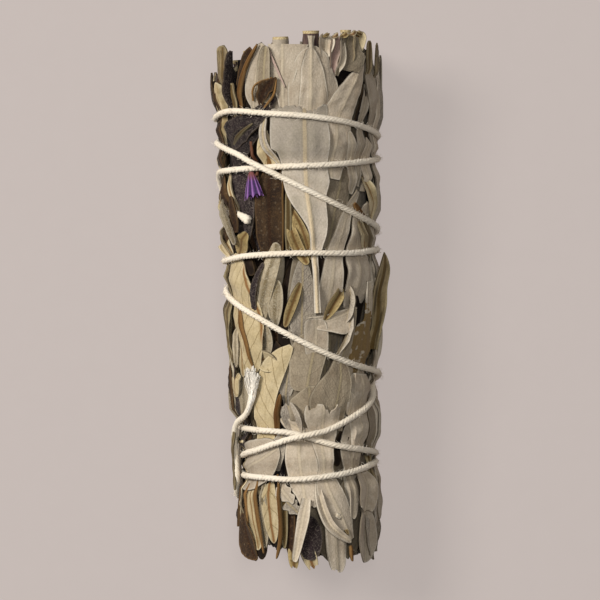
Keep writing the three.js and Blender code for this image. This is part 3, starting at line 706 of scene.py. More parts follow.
BROAD_EDGES = [(0, 0.7, 0.7), (0.2, 0.7, 0.7), (0.3, 0.7, 1.9), (0.4, 0.8, 3.3), (0.46, 1.8, 3.7),
               (0.55, 3.8, 4.2), (0.62, 4.8, 4.8), (0.76, 5.7, 5.1), (0.83, 7.2, 5.2),
               (0.93, 7.3, 5.2), (1, 6.2, 4.6)]

top_leaves = {}


def place_by_hand(name, rows):
    top_leaves[name] = [leaf(finish, width, depth, line, **(habits[0] if habits else {}))
                        for finish, width, depth, line, *habits in rows]
    print(name, "has", len(rows), "leaves placed by hand")


print("the broad leaf's outline has", len(BROAD_EDGES), "stops")

# %% The middle
place_by_hand("pale_sprig_1", [
    ("pale", SHOULDERS_BEHIND, 0.65, [(3, 50.2), (3, 35)],
     dict(sink=0.1, shade=0.3, cup=0.02, rib=0.05, grid=(18, 56))),
    ("pale", SHOULDERS, 0.42, [(2.5, 52.2), (2.4, 44), (2.3, 35)],
     dict(sink=0.1, shade=0.55, rib=0.3, cup=0.02, grid=(18, 60))),
    ("ribbed", BROAD_EDGES, 0.1, [(3.8, -2.6), (3.1, 10), (1.6, 22), (1.2, 31), (1.2, 38.8)],
     dict(sink=0.2, tear=0.03, grid=(24, 84), rib=0.42, wave=0.1, cup=0.03, curl=0, ragged=0.02,
          shade=0.85, painted_tip_shade=1)),
    ("dark", 1.8, 1, [(4.9, 13), (4.3, 6), (4, 0)], STRIP),
    ("grey", 5.6, 0.9, [(0.4, -10.4), (0.6, -2), (0.8, 8.6)], dict(widest=0.35, shade=0.1)),
    ("pale", [(0, 0.4, 0.6), (0.15, 0.9, 1.2), (0.4, 1, 2.2), (0.6, 1, 3.4), (0.75, 0.8, 2.8),
              (0.9, 0.5, 1), (1, 0.1, 0.2)], 0.45, [(0.4, -4.4), (5.5, -4), (11.6, -1.5)],
     dict(fold=0.25, shade=0.7)),
    ("pale", [(0, 2, 2), (0.3, 2.4, 2.6), (0.6, 2.5, 2.5), (0.85, 2.4, 2.2), (0.96, 1.8, 1.6),
              (1, 0.8, 0.7)], 0.15, [(3.6, -12), (3.4, -3.6)], dict(shade=0.3, cup=0.15)),
    ("aged", [(0, 2.6, 1.4), (0.12, 3.8, 2.2), (0.35, 4.3, 2.4), (0.6, 4.8, 2.8), (0.8, 4.1, 3.1),
              (0.93, 2.6, 2.4), (1, 1, 1)], 0.45, [(1.4, -18.4), (2.4, -13), (4, -6.4)],
     dict(cup=0.03, shade=0.45, sink=0.2, tear=0.05, grid=(18, 56))),
    ("grey", 3.4, 1, [(-3, -22), (-2.4, -15), (-1.8, -9.8)]),
    ("aged", [(0, 4.4, 3.6), (0.45, 4.4, 3.6), (0.65, 4.2, 3.4), (0.8, 2.9, 3.2), (1, 0.15, 2.6)],
     0.3, [(2.6, -26), (2, -17)], dict(shade=0.35, cup=0.05)),
    ("grey", 3.8, 0.45, [(-0.2, -29), (-1.4, -24), (-2.4, -20)], dict(FOLDED, tear=0.08)),
    ("pale", 3, 0.2, [(-4.2, -23.6), (-2, -24.8), (1, -26.4)], dict(STRIP, curl=0.5)),
    ("pale", [(0, 0.6, 0.8), (0.18, 2, 2.4), (0.36, 2.6, 2.8), (0.56, 1.2, 2), (0.75, 2.4, 2.8),
              (0.92, 3.8, 3.7), (1, 3.4, 3.6)],
     0, [(10.6, -47.6), (8.6, -43), (6.2, -38), (5.2, -33), (5, -27), (5, -20.6)],
     dict(tear=0.06, rib=0.25, shade=0.6, sink=0.1, ragged=0.03, grid=(18, 72))),
    ("pale", [(0, 3, 2.2), (0.4, 3.6, 3), (0.65, 3.6, 2.8), (0.85, 3, 1.6), (1, 2.2, 0.8)],
     0.5, [(-0.4, -25.6), (0.2, -33), (1.4, -41.4)], dict(tear=0.06, shade=0.75, sink=0.2)),
    ("pale", [(0, 0.9, 0.9), (0.3, 1.3, 1.1), (0.7, 1, 0.8), (0.95, 0.6, 0.6), (1, 0.3, 0.3)],
     -0.15, [(1.5, -39.4), (0.2, -46), (-0.9, -52)],
     dict(fold=0.3, sink=0.3, shade=1, grid=(10, 40))),
    ("pale", TORN, 0.15, [(-4.6, -36.6), (-1.2, -40.4)], dict(shade=0.4, grid=(12, 20))),
    ("grey", TORN, 0.3, [(-3.4, -39.2), (0.4, -42.8)], dict(shade=0.3, grid=(12, 20))),
    ("plum", 5, 0.7, [(2.4, -43), (2.2, -51.8)],
     dict(stalk=0, blunt=0.4, grid=(10, 24), ripple=0.6, shade=1)),
    ("cream", 3, 0.75, [(0.6, -47), (3.2, -54)], dict(stalk=0, blunt=0.4, tear=0.12)),
    ("tan", 2.2, 0.8, [(-1.4, -48), (-1, -53.6)], dict(STRIP, tear=0.1)),
    ("pale", [(0, 2, 2), (0.3, 2.4, 2), (0.6, 2.3, 2), (0.85, 1.7, 1.7), (1, 0.9, 1)],
     0.5, [(7.2, -39), (7.4, -46), (7.9, -54.2)], dict(tear=0.06)),
    ("pale", 2.2, -0.2, [(3.9, -35.6), (4.4, -40), (6.6, -45), (10.6, -48.2)],
     dict(STRIP, fold=0.6, curl=0.4, shade=0.9)),
    ("rib", 0.7, 0.2, [(10.6, -48.8), (10.9, -52)], RIB),
])

# %% Right of the middle
place_by_hand("pale_sprig_2", [
    ("aged", SHELL, 0.6, [(7.8, 44.4), (8.8, 48), (10.2, 52.8)],
     dict(fold=0.35, sink=0.4, shade=-0.3, tear=0.05, grid=(16, 36))),
    ("pale", 1.2, 0.35, [(7.8, 44.6), (8.9, 48), (8.8, 52.6)], dict(STRIP, fold=0.4, shade=0.6)),
    ("rose", 2.4, 0.9, [(6.8, 44.4), (7, 48), (7.8, 52.4)], dict(FLARED, fold=0.4)),
    ("pale", 2.8, 1, [(5, 46), (5.2, 49), (5.4, 52.6)], FLARED),
    ("cream", 2, 0.4, [(11.4, 46.4), (11.5, 50), (11.7, 53.4)], FLARED),
    ("dark", 4.4, 1.15, [(8.2, 42), (11.4, 47.2)], dict(stalk=0, grid=(8, 20), shade=-0.6)),
    ("tan", 0.9, -0.1, [(8.8, 52), (9.9, 52.9)], CRUMB),
    ("tan", 0.8, 0, [(5, 52), (6.3, 52.7)], CRUMB),
    ("cream", 0.9, -0.1, [(7, 51.9), (8.1, 52.7)], CRUMB),
    ("cream", 0.8, -0.2, [(10.7, 52.4), (11.6, 53.3)], CRUMB),
    ("tan", 0.7, -0.2, [(11.9, 53), (12.9, 52.4)], CRUMB),
    ("pale", DRAPED, 0.28, [(13.3, 49), (11.6, 44), (9, 38.2), (7.6, 32), (6.6, 24)],
     dict(rib=0.25, shade=1, painted_tip_shade=0.8, sink=0.2, cup=0.02, ragged=0.03, grid=(18, 72))),
    ("dark", 0.9, 0.5, [(13.7, 43.4), (12.8, 39), (11.8, 34.2)], STRIP),
    ("pale", 1.3, 0.4, [(14, 42.8), (13.4, 39), (12.8, 34.6)], dict(STRIP, shade=0)),
    ("tan", 1.2, 0.4, [(8.6, 41.6), (7.8, 40.2)], CRUMB),
    ("tan", 0.8, 0.3, [(8.2, 40.6), (8.9, 40)], CRUMB),
    ("aged", 5, 0.75, [(4.8, 4), (6.6, 14), (8.6, 25), (9.2, 34)], dict(stalk=0, shade=-0.2)),
    ("pale", [(0, 2, 2), (0.15, 2.4, 2.4), (0.45, 1.7, 1.7), (0.7, 1.3, 1.3), (1, 0.4, 0.5)],
     0.5, [(5.8, -3.6), (6.3, 0), (7.5, 9), (9.3, 15), (12, 21.6)], dict(shade=0.45, cup=0.15)),
    ("dark", 1.8, 0.9, [(10.8, 16), (9.5, 9), (9.2, 1.6)], STRIP),
    ("pale", [(0, 1.6, 1.6), (0.3, 2.3, 2.4), (0.5, 2.4, 2.5), (0.75, 1.3, 1.4), (1, 0.5, 0.5)],
     0.3, [(11.5, -2), (12.5, 6), (12.1, 13), (12.3, 18)], dict(shade=0.5)),
    ("olive", 2.2, 0, [(13.6, 18), (14.6, 13), (15.4, 8.8)], STRIP),
    ("cream", 1.5, 0, [(12.9, 16.8), (13.7, 12.6), (14.4, 9.6)], STRIP),
    ("rib", 0.8, -0.1, [(11.8, 19.2), (13.4, 17.4), (15.3, 15.4)], RIB),
    ("tan", 2, 0.4, [(9.2, 2.8), (7.2, -0.4), (5.2, -4)], dict(FOLDED, stalk=0)),
    ("grey", 2, 0.3, [(11, 3), (10.4, -1), (9.6, -4.4)], EDGE_ON),
    ("dark", 2.2, 0.8, [(12.8, 4.6), (12.3, 0), (11.2, -6)], STRIP),
    ("dark", 2.4, 0.9, [(11.4, -4.6), (9.4, -10)], STRIP),
    ("grey", 1.5, -0.2, [(11.6, -1.6), (10.4, -6), (8.8, -11.6)], dict(EDGE_ON, ragged=0.2)),
    ("aged", [(0, 3.4, 2.4), (0.2, 5, 2.4), (0.3, 4.4, 2.4), (0.5, 2, 1.9), (0.7, 0.7, 1.2),
              (0.85, 0.5, 0.9), (1, 0.3, 0.3)],
     0.1, [(7, -25.6), (8.2, -17), (9.6, -9), (11.4, -1.8)],
     dict(cup=0.12, shade=0.6, grid=(18, 56))),
    ("pale", [(0, 0.8, 0.8), (0.3, 1.4, 1.6), (0.6, 2, 2.4), (0.8, 2.3, 2.4), (1, 1.5, 1.8)],
     0, [(12.4, -33.6), (13, -24), (13.2, -14.6)], dict(ragged=0.06, curl=0.3, shade=0.5)),
    ("pale", 1.8, 0.1, [(10.4, -18), (10.8, -20), (10.6, -23)], dict(STRIP, grid=(8, 14))),
    ("dark", 2.2, 0.9, [(10.2, -24.6), (8.5, -28.7), (7.6, -33)], STRIP),
    ("pale", 4, 0.7, [(11.4, -38), (10.8, -31), (10.6, -24)], dict(shade=0.1)),
    ("dark", 1.5, 0.8, [(11.6, -35.4), (11.3, -43.4)], STRIP),
    ("pale", 2.4, 0, [(10.9, -33.6), (11.3, -39), (11, -43.6)], dict(STRIP, curl=0.7, tear=0.06)),
    ("aged", 2.6, 0.7, [(9.6, -36), (9.9, -48)], STRIP),
    ("pale", 1, -0.1, [(7.4, -42.6), (8.6, -43.2)], CRUMB),
    ("tan", 0.7, -0.1, [(9.4, -45.4), (9.9, -46.6)], CRUMB),
])

# %% The right edge
place_by_hand("pale_sprig_3", [
    ("pale", 5, 0.2, [(15.4, 48), (15.9, 38), (16.1, 26)], dict(stalk=0, widest=0.4)),
    ("pale", 2, 0.1, [(11.2, 21), (11.2, 27), (10.6, 33.6)], dict(STRIP, shade=0.4)),
    ("pale", 2, 0, [(12.6, 22.6), (12.8, 29), (13.2, 35)], dict(ROUND, grid=(10, 30))),
    ("pale", 2.2, 0, [(14.2, 21.6), (14.3, 27), (14.4, 32.4)], dict(ROUND, grid=(10, 30))),
    ("dark", 1.2, 0.6, [(14.2, 35), (14.9, 30)], STRIP),
    ("olive", 1.4, 0.4, [(14.4, 44), (14.4, 51.6)], dict(STRIP, grid=(6, 16))),
    ("olive", 1.8, 0.2, [(16, 43.6), (15.9, 51.2)], dict(STRIP, grid=(6, 16))),
    ("strip", 1.6, 0, [(13.6, 24.6), (14.8, 20), (15.6, 15)], dict(STRIP, fold=0.4)),
    ("pale", 3.4, 0.2, [(15.2, 8), (14.6, 14), (13.8, 19.4)], dict(stalk=0)),
    ("dark", 1.8, 0.6, [(15.6, 12), (15.8, 4), (15.6, -6)], STRIP),
    ("olive", 2, -0.1, [(15.2, -9.8), (15.9, 0), (16.5, 9.4)],
     dict(shade=0.8, lift=0.8, widest=0.6, cup=0.3, sink=0.8, pressing=0, stalk=0, roll=36,
          twist=-30)),
    ("pale", [(0, 2, 1.7), (0.2, 2.2, 1.6), (0.4, 1.9, 1.5), (0.5, 1.4, 1.3), (0.62, 0.7, 1),
              (0.8, 0.6, 0.9), (1, 0.4, 0.4)], 0, [(13, -16), (13.4, -8), (14.3, -2), (14.2, 3.8)],
     dict(ragged=0.1, curl=0.2, stain=(-1, 8.4, 6.4), shade=0.6, grid=(18, 60))),
    ("aged", 4.8, 0.2, [(16.2, -21), (16.6, -13), (16.6, -4.6)], dict(stalk=0, shade=0)),
    ("aged", 4.8, 0.3, [(15.2, -31), (15.6, -23), (15.8, -15.6)], dict(stalk=0, shade=0.2)),
    ("pale", 3.2, 0, [(13.7, -33), (13.9, -38), (13.4, -42.6)], dict(STRIP, fold=0.3, tear=0.08)),
    ("pale", 3.4, 0.4, [(13.4, -39), (13.5, -46), (13.4, -52.4)], dict(fold=0.4)),
    ("aged", 3.8, 0.5, [(15.2, -35), (15.6, -44), (15.6, -52)], dict(stalk=0)),
    ("grey", 1.8, 0.1, [(14.4, -41), (14.8, -51.6)], STRIP),
])

# %% Left of the middle
place_by_hand("brown_sprig_2", [
    ("pale", FUNNEL, 0.85, [(-3.4, 50.6), (-3.3, 42), (-3, 33.6)],
     dict(sink=0.2, cup=0.05, shade=0.35)),
    ("brown", 5, 1.5, [(-5.4, 51), (-4, 36)]),
    ("pale", 4.8, 0.7, [(-9.8, 35.8), (-8.8, 43), (-7.4, 50.8)], ROUND),
    ("aged", 2.8, 0.45, [(-6.9, 37), (-7.1, 44), (-6.6, 50.2)], dict(STRIP, fold=0.3, shade=0.3)),
    ("rose", 0.6, 0.55, [(-6.4, 50), (-4.6, 46), (-2.8, 42)], dict(RIB, rib=0.25)),
    ("rib", 0.85, 0.1, [(-12.4, 36.6), (-12.1, 42), (-10.8, 46.4), (-8.4, 50.6)], RIB),
    ("brown", 3, 1.2, [(-12.2, 36), (-11.4, 43), (-9.8, 50)]),
    ("brown", 3, 0.25, [(-8.4, 37.4), (-7.2, 41), (-4.6, 44)],
     dict(stalk=0, widest=0.6, blunt=1, ragged=0.2, fold=0.5, shade=0.2, grid=(10, 30))),
    ("rib", 0.5, 0.15, [(-7.4, 38), (-5.2, 40.4), (-4.5, 43.6)], RIB),
    ("rib", 0.35, 0.2, [(-9.5, 39.4), (-8.9, 42.4), (-5.4, 44)], RIB),
    ("plum", TRIANGLE, 0.4, [(-4.6, 40.4), (-9.3, 36.4), (-14.6, 32)],
     dict(ragged=0.12, cup=0.1, shade=0, grid=(16, 50))),
    ("plum", 3.8, 0.7, [(-8.6, 34.4), (-11.4, 31), (-13.6, 27)],
     dict(stalk=0, fold=0.3, shade=-0.4, grid=(10, 30))),
    ("olive", 0.7, 0.1, [(-14, 30.9), (-12, 33), (-9.6, 35)], dict(RIB, rib=0.3, shade=-0.8)),
    ("plum", 4.8, 0.8, [(-13, 31), (-12, 21), (-10.8, 11.6)], dict(ripple=0.7, crumple=0.2)),
    ("cream", 3.8, 0.7, [(-7.4, 34.6), (-6.8, 30), (-6.2, 25.4)],
     dict(ROUND, stain=(0.2, 7.6, 0.9))),
    ("grey", 1.6, 0.3, [(-7.4, 37), (-7, 31), (-4.2, 26.8)], dict(STRIP, fold=0.4)),
    ("brown", 6.2, 0.5, [(-6.3, 28), (-6.1, 18), (-5.8, 6.6)],
     dict(stalk=0, widest=0.5, blunt=0.35, cup=0.02)),
    ("rib", 0.45, 0.5, [(-3.4, 24), (-3.2, 16), (-3.4, 9)], dict(RIB, shade=-0.5)),
    ("olive", 1.4, 0.4, [(-2.3, 24), (-2.2, 16), (-2.4, 8.6)], dict(STRIP, shade=-0.4)),
    ("tan", [(0, 0.2, 0.2), (0.3, 0.6, 1.5), (0.6, 1, 2.1), (0.9, 1.3, 0.6), (1, 1, 0.3)],
     0.55, [(-2.4, 19.6), (0.2, 15), (2.6, 8)]),
    ("tan", 2.6, 0.35, [(-2, 15.4), (-0.6, 11), (1.8, 7)], dict(STRIP, fold=0.4)),
    ("woolly", 5, 0.15, [(-8.8, -4.8), (-7, 3), (-4.6, 11.4)],
     dict(fold=-0.25, curl=0.4, stalk=0, widest=0.5, blunt=0.4)),
    ("plum", 1.6, 0.1, [(-10, -4.4), (-9.2, 2), (-7.6, 7.4)], dict(STRIP, ragged=0.3)),
    ("woolly", 3.2, 0.6, [(-5.4, -5.4), (-4.8, 0), (-4.4, 4)], dict(ROUND, stalk=0)),
    ("tan", 2, 0.5, [(0.3, 3.4), (-1.4, -1), (-3, -5.4)], dict(STRIP, fold=0.3)),
    ("woolly", 3.8, 0.9, [(-8.4, -3.6), (-7.4, -8), (-6.6, -11.4)],
     dict(stalk=0, stain=(0, 4, 0.6))),
    ("cream", 3.4, 1, [(-8.6, -11), (-4, -13.4)], dict(FOLDED, stalk=0, grid=(8, 20))),
    ("cream", [(0, 1.4, 1.6), (0.25, 2.2, 2), (0.5, 2.8, 2.2), (0.7, 3, 2), (0.88, 2.2, 1.3),
              (1, 0.7, 0.3)],
     0.45, [(-6.8, -34), (-7.2, -27), (-6.9, -20), (-5.1, -14.6), (-1.4, -9.2)],
     dict(rib_at=3.2, shade=0.5, sink=0.3, grid=(16, 60))),
    ("rib", 1.3, 0.35, [(-5.3, -27), (-4.7, -22), (-3.8, -18.6)], RIB),
    ("pale", 5.8, 0.2, [(-13.2, -34.6), (-9, -32.2), (-4.4, -29.2)],
     dict(stalk=0, blunt=0.4, cup=0.05, ragged=0.05, shade=0.2)),
    ("grey", 3.2, 0.5, [(-5.4, -34.4), (-4.6, -30), (-3.8, -26.2)], dict(stalk=0)),
    ("cream", 3.4, 0.5, [(-6.8, -35), (-6, -42), (-5.1, -48.4)], dict(stalk=0, rib=0.1)),
    ("rib", 0.85, -0.2, [(-4.8, -34.6), (-4, -42), (-3.9, -47), (-4.6, -51.4)],
     dict(RIB, rib=0.7, widest=0.6)),
    ("olive", 1.5, 0.4, [(-3.1, -37), (-3, -49.4)], STRIP),
    ("brown", 2.4, 0.8, [(-2.1, -38), (-1.9, -50.8)], STRIP),
    ("woolly", 1.8, 0.5, [(-7.8, -36), (-7, -49.4)], STRIP),
    ("rib", 0.6, 0, [(-9.5, -36), (-8.6, -43), (-7.2, -50.4)], RIB),
    ("dark", 4, 1, [(-6.4, -8), (-3.8, -13.6)], dict(stalk=0, grid=(8, 16))),
    ("dark", 2, 0.9, [(-11.6, 9), (-9.4, 5)], dict(stalk=0, grid=(8, 16))),
])

# %% The left edge
place_by_hand("brown_sprig_1", [
    ("plum", 2.2, 0.5, [(-14, 36), (-13.8, 49.4)], EDGE_ON),
    ("olive", 1.6, 0.3, [(-13.8, 36.4), (-13.7, 43)], STRIP),
    ("strip", 3, 0.1, [(-16.7, 30.6), (-17, 37), (-17, 43.4)], dict(STRIP, curl=0.5)),
    ("olive", 3.6, 0.6, [(-15.6, 42), (-15.6, 50.6)], STRIP),
    ("olive", 4, 0.3, [(-16.4, 31), (-16.6, 27), (-16.2, 23.4)], STRIP),
    ("strip", 2.6, 0.1, [(-16.9, 22.6), (-16.4, 15), (-14.7, 8.6)], dict(STRIP, fold=0.4)),
    ("strip", 1, 0.3, [(-15.9, 20), (-15.4, 14), (-14, 9)], EDGE_ON),
    ("woolly", 1.4, -0.1, [(-15.8, 19.8), (-14.4, 16), (-12.6, 11)],
     dict(STRIP, fold=0.4, pressing=0, sink=0.4, ragged=0.15, shade=-0.1)),
    ("strip", 0.9, 0.3, [(-14.9, 25.6), (-14, 21.4), (-12.9, 17.4)], STRIP),
    ("brown", 1.5, -0.2, [(-14.2, 20.6), (-13.6, 17.6), (-12.6, 13.4)],
     dict(STRIP, pressing=0.3, sink=0.4, shade=0.2)),
    ("tan", 2.2, 0.1, [(-11.2, 13.4), (-12.2, 10.6), (-13.2, 8.6)], dict(STRIP, tear=0.1)),
    ("plum", 3.4, 0.9, [(-15, 17), (-13.6, 9)]),
    ("cream", 5.6, -0.05, [(-14.4, 9), (-13, 2), (-11.2, -4), (-10.2, -10), (-9.7, -14.8)],
     dict(stalk=0, widest=0.42, blunt=0.45, cup=0.05, fold=-0.15, rib_at=-3.6, sink=0.4)),
    ("rib", 0.6, -0.3, [(-13.6, -0.6), (-12, -5), (-10.6, -9.6), (-9.8, -14)], RIB),
    ("strip", 2.2, 0.4, [(-12.8, -3.2), (-12, -9), (-11.4, -15.4)], dict(STRIP, ragged=0.15)),
    ("brown", 4, 0.7, [(-13.6, -11), (-14.6, -2), (-15.6, 8)], dict(STRIP, shade=0.8)),
    ("olive", 1.8, 0.3, [(-13.9, -6), (-13.4, -12.6)], dict(STRIP, shade=-0.1)),
    ("woolly", 1.5, 0.2, [(-13.2, -4.6), (-12.8, -13.4)], dict(STRIP, shade=0.8)),
    ("tan", 1, 0.1, [(-14.7, -3), (-14, -10.6)], STRIP),
    ("strip", 2.6, 0.2, [(-13, -14.6), (-13, -19.4)], dict(STRIP, grid=(8, 16))),
    ("woolly", 2.4, 0.6, [(-11.6, -14.6), (-11.3, -23.6)], STRIP),
    ("plum", 3, 0.8, [(-12.8, -17), (-12.6, -26)], STRIP),
    ("strip", 3.6, 0.3, [(-12.7, -25), (-12.6, -36), (-12.2, -45)], STRIP),
    ("brown", 3.2, 0.3, [(-11.6, -40), (-10.9, -46), (-8.8, -51.8)],
     dict(stalk=0, widest=0.6, fold=0.3, blunt=0.7, shade=1)),
    ("strip", 2.2, 0.3, [(-10.6, -36), (-9.6, -42), (-8.2, -49.8)], STRIP),
    ("rib", 0.4, 0.1, [(-11.3, -36.6), (-10.5, -44.6)], RIB),
    ("tan", 1.8, 0.4, [(-11.8, -41.6), (-11, -48.4)], STRIP),
    ("olive", 0.8, -0.3, [(-13.2, -26.4), (-13.3, -32), (-12.9, -38)],
     dict(STRIP, pressing=0, sink=0.2)),
    ("grey", 2.6, 0.75, [(-12.4, -24.4), (-12.7, -35), (-12.2, -46)],
     dict(STRIP, pressing=0, sink=0.2)),
    ("dark", 2.8, 0.4, [(-10.2, -43), (-9, -47), (-7.4, -51.6)], dict(ROUND, stalk=0, cup=-0.3)),
])

# %% [markdown]
# ## Leaves underneath and inside
# The sides and the underside were never arranged, so rows of leaves run round them both ways,
# like shingles, with sizes and turns that vary a little. The rows that show through the gaps on
# top are drawn darker, as painted shade. Under all of them lies one more layer, with fewer faces
# and mostly in a near-black finish that paints the shade deep inside, that shows only through the
# gaps. Each leaf belongs to the sprig in whose sector it grows.
# %% Sectors and kinds
SECTORS = {"pale_sprig_1": (-22, 22), "brown_sprig_2": (-65, -22), "pale_sprig_2": (22, 62),
           "brown_sprig_1": (-110, -65), "pale_sprig_3": (62, 105), "under_sprig_1": (105, 150),
           "under_sprig_2": (150, 205), "under_sprig_3": (205, 250)}
ROWS_ALONG = [(53, 24), (32, 4), (12, -17), (-8, -37), (-27, -53.5)]
sprig_leaves = {name: top_leaves.get(name, []) for name in SECTORS}


def vary(low, high):
    return chance.uniform(low, high)


def sprig_at(degrees):
    for name, (start, end) in SECTORS.items():
        if start <= (degrees + 110) % 360 - 110 < end:
            return name
    return "under_sprig_3"


def kinds_at(degrees):
    """Brown and straw coloured leaves on the left side, pale ones on the right."""
    share = 0.5 + 0.5 * math.sin(math.radians(degrees))
    pale, brown = 0.25 + 0.6 * share, 0.6 - 0.5 * share
    weights = [pale * 0.7, pale * 0.3, brown * 0.25, brown * 0.2, brown * 0.2, brown * 0.2,
               brown * 0.15]
    finishes = ["pale", "grey", "cream", "brown", "woolly", "tan", "plum"]
    return chance.choice(finishes, p=np.array(weights) / sum(weights))


print("sectors:", ", ".join(SECTORS))

# %% The outline and its gaps
# how far the leaves reach at both ends: across, then along
STEM_OUTLINE = [(-17, -14, -10, -4, 2, 4, 11, 14, 17),
                (43, 47.5, 49.5, 51, 51.4, 53, 53.6, 51.5, 49)]
TIP_OUTLINE = [(-13, -9, -5, 0, 5, 8, 10, 15),
               (-46, -50.4, -50.8, -51.6, -53, -53.6, -52.6, -51)]
INSIDE = 0.6  # mm that rows stay within them


def reach_of(degrees, high, low):
    """Keeps a row's ends within the bundle's outline."""
    centre, half = ring_at(0.0)
    across = centre + half * math.sin(math.radians(degrees))
    return (min(high, np.interp(across, *STEM_OUTLINE) - INSIDE),
            max(low, np.interp(across, *TIP_OUTLINE) + INSIDE))


# gaps that show the dark middle: from and to across, from and to along, in mm
OPEN = [(-11.8, -8.8, 27, 34), (-6.8, -1.8, 0, 7.6), (-8.8, -1.8, -14, -6),
        (7.4, 9.6, 42.4, 46.8), (-15.8, -12.8, 10, 18), (-3, 4.6, -52, -44)]
OPEN_RIM = 1.4  # mm that a gap is kept clear to both sides


def over_gap(degrees, high, low):
    for share in np.linspace(0, 1, 12):
        along = high + (low - high) * share
        centre, half = ring_at(along)
        across = centre + half * math.sin(math.radians(degrees))
        for left, right, bottom, top in OPEN:
            if left - OPEN_RIM < across < right + OPEN_RIM and bottom < along < top:
                return True
    return False


print("gaps kept open:", len(OPEN))

# %% Rows of leaves


def leaf_row(start, end, count, depths, widths, grid, kinds=kinds_at, gaps=False, **habits):
    for i in range(count):
        for high, low in ROWS_ALONG:
            degrees = start + (end - start) * (i + vary(0.2, 0.8)) / count
            if gaps and over_gap(degrees, high, low):
                continue
            high, low = reach_of(degrees, high + vary(-3, 1.5), low + vary(-1.5, 2.5))
            line = [(degrees, high), (degrees + vary(-5, 5), (high + low) / 2),
                    (degrees + vary(-9, 9), low)]
            if chance.uniform() < 0.5:
                line.reverse()
            form = dict(habits, widest=vary(0.35, 0.65), blunt=vary(0.5, 0.8), grid=grid,
                        curl=vary(0.05, 0.4), wave=vary(0.1, 0.35), crumple=vary(0.1, 0.3))
            if gaps:  # these lie close under the leaves on top, drawn darker as painted shade
                form.update(shade=vary(-1, -0.35), fold=vary(-0.1, 0.08), twist=vary(-5, 5))
            else:
                form.update(fold=vary(-0.2, 0.5), twist=vary(-25, 25))
            made = leaf(kinds(degrees), vary(*widths), vary(*depths), line, seen=False, **form)
            sprig_leaves[sprig_at(degrees)].append(made)


# painted shade: most leaves of the innermost layer take the near-black finish
def inner_kinds(degrees):
    return chance.choice(["dark", "plum", "brown"], p=[0.6, 0.15, 0.25])


def right_edge_kinds(degrees):
    return chance.choice(["pale", "grey", "olive"], p=[0.7, 0.2, 0.1])


def left_edge_kinds(degrees):
    return chance.choice(["strip", "olive", "brown", "plum", "woolly"],
                         p=[0.1, 0.15, 0.35, 0.3, 0.1])


def below_kinds(degrees):
    if degrees > -12:
        return chance.choice(["aged", "pale", "grey"], p=[0.65, 0.2, 0.15])
    return chance.choice(["brown", "plum", "woolly", "olive", "cream"],
                         p=[0.35, 0.25, 0.15, 0.15, 0.1])


leaf_row(100, 260, 10, (0, 0.3), (6.5, 8.5), (12, 36), tear=0.02)
leaf_row(96, 264, 10, (0.6, 0.9), (7, 9), (8, 20))
leaf_row(100, 260, 8, (1.1, 1.5), (7, 9), (6, 12))
leaf_row(76, 104, 5, (0, 0.6), (2.4, 4), (8, 34), kinds=right_edge_kinds)
leaf_row(-104, -76, 5, (-0.2, 0.5), (2.2, 3.6), (8, 34), kinds=left_edge_kinds)
leaf_row(-78, 78, 12, (2, 2.2), (5.4, 6.6), (8, 24), kinds=below_kinds, gaps=True)
leaf_row(-84, 84, 12, (2.5, 2.7), (6, 7.4), (8, 20), kinds=below_kinds, gaps=True)
leaf_row(-96, 96, 12, (3, 3.3), (5.5, 8), (5, 10), kinds=inner_kinds)
leaf_row(92, 264, 8, (2.2, 2.9), (7, 9), (5, 10), kinds=inner_kinds)
print("leaves in all:", sum(len(made) for made in sprig_leaves.values()))

# %% [markdown]
# ## Folded ends
# At both ends one looks into the bundle: squeezed leaves, edge on and folded, at every depth. A
# blade of a few dozen faces is enough for each, since hundreds of them fill an end. They are
# turned at random about their own length, and stand out of the bundle by different amounts.
# %% Blades at the two ends
END_BLADES = 240


def end_blade(way):
    degrees = vary(-110, 250)
    on_top = -80 < degrees < 80
    depth = 16.4 - (12.4 if on_top else 14) * math.sqrt(vary(0.0, 1))
    centre, half = ring_at(way * 48)
    across = centre + (half - depth) * math.sin(math.radians(degrees))
    edge = np.interp(across, *(STEM_OUTLINE if way > 0 else TIP_OUTLINE))
    reach = edge - way * vary(1, 6)
    line = [(degrees, way * 38), (degrees + vary(-4, 4), way * 44), (degrees, reach)]
    # painted shade: about one blade in eight takes the near-black finish that stands for the shade
    # deep in the end
    kind = kinds_at(degrees) if chance.uniform() < 0.88 else "dark"
    made = leaf(kind, vary(3, 4.6 if on_top else 6.5), depth, line, seen=False, grid=(4, 9),
                roll=vary(-80, 80), fold=vary(0.2, 0.9), twist=vary(-60, 60),
                widest=vary(0.55, 0.75), blunt=vary(0.3, 0.45), stalk=0, sink=0, wave=0.4,
                rib=0.1, tear=vary(0, 0.12))
    sprig_leaves[sprig_at(degrees)].append(made)


for n in range(END_BLADES * 2):
    end_blade(1 if n % 2 else -1)
print("blades at each end:", END_BLADES)

# %% [markdown]
# ## Thickness, and one object for each sprig
# A sheet without thickness shows no edge. Solidify gives each leaf its felted 0.28 mm, downwards
# so that the surface that was pressed by the twine stays where it is. The leaves of one sprig are
# joined into one object, which then stands for the sprig's plain solid.
# %% Sprigs
LEAF_THICKNESS = 0.28 * MM
SOLIDIFY_SIDE = -1
LEAF_CREASE = 50  # degrees: sharper edges than this stay sharp


def stands_for(piece, *nodes):
    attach(piece, "root")
    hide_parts(*nodes)


def triangles(piece):
    return sum(len(face.vertices) - 2 for face in piece.data.polygons)


def lift_off_floor(piece):
    flat = np.empty(len(piece.data.vertices) * 3)
    piece.data.vertices.foreach_get("co", flat)
    flat[2::3] = np.maximum(flat[2::3], 0)
    piece.data.vertices.foreach_set("co", flat)
    piece.data.update()


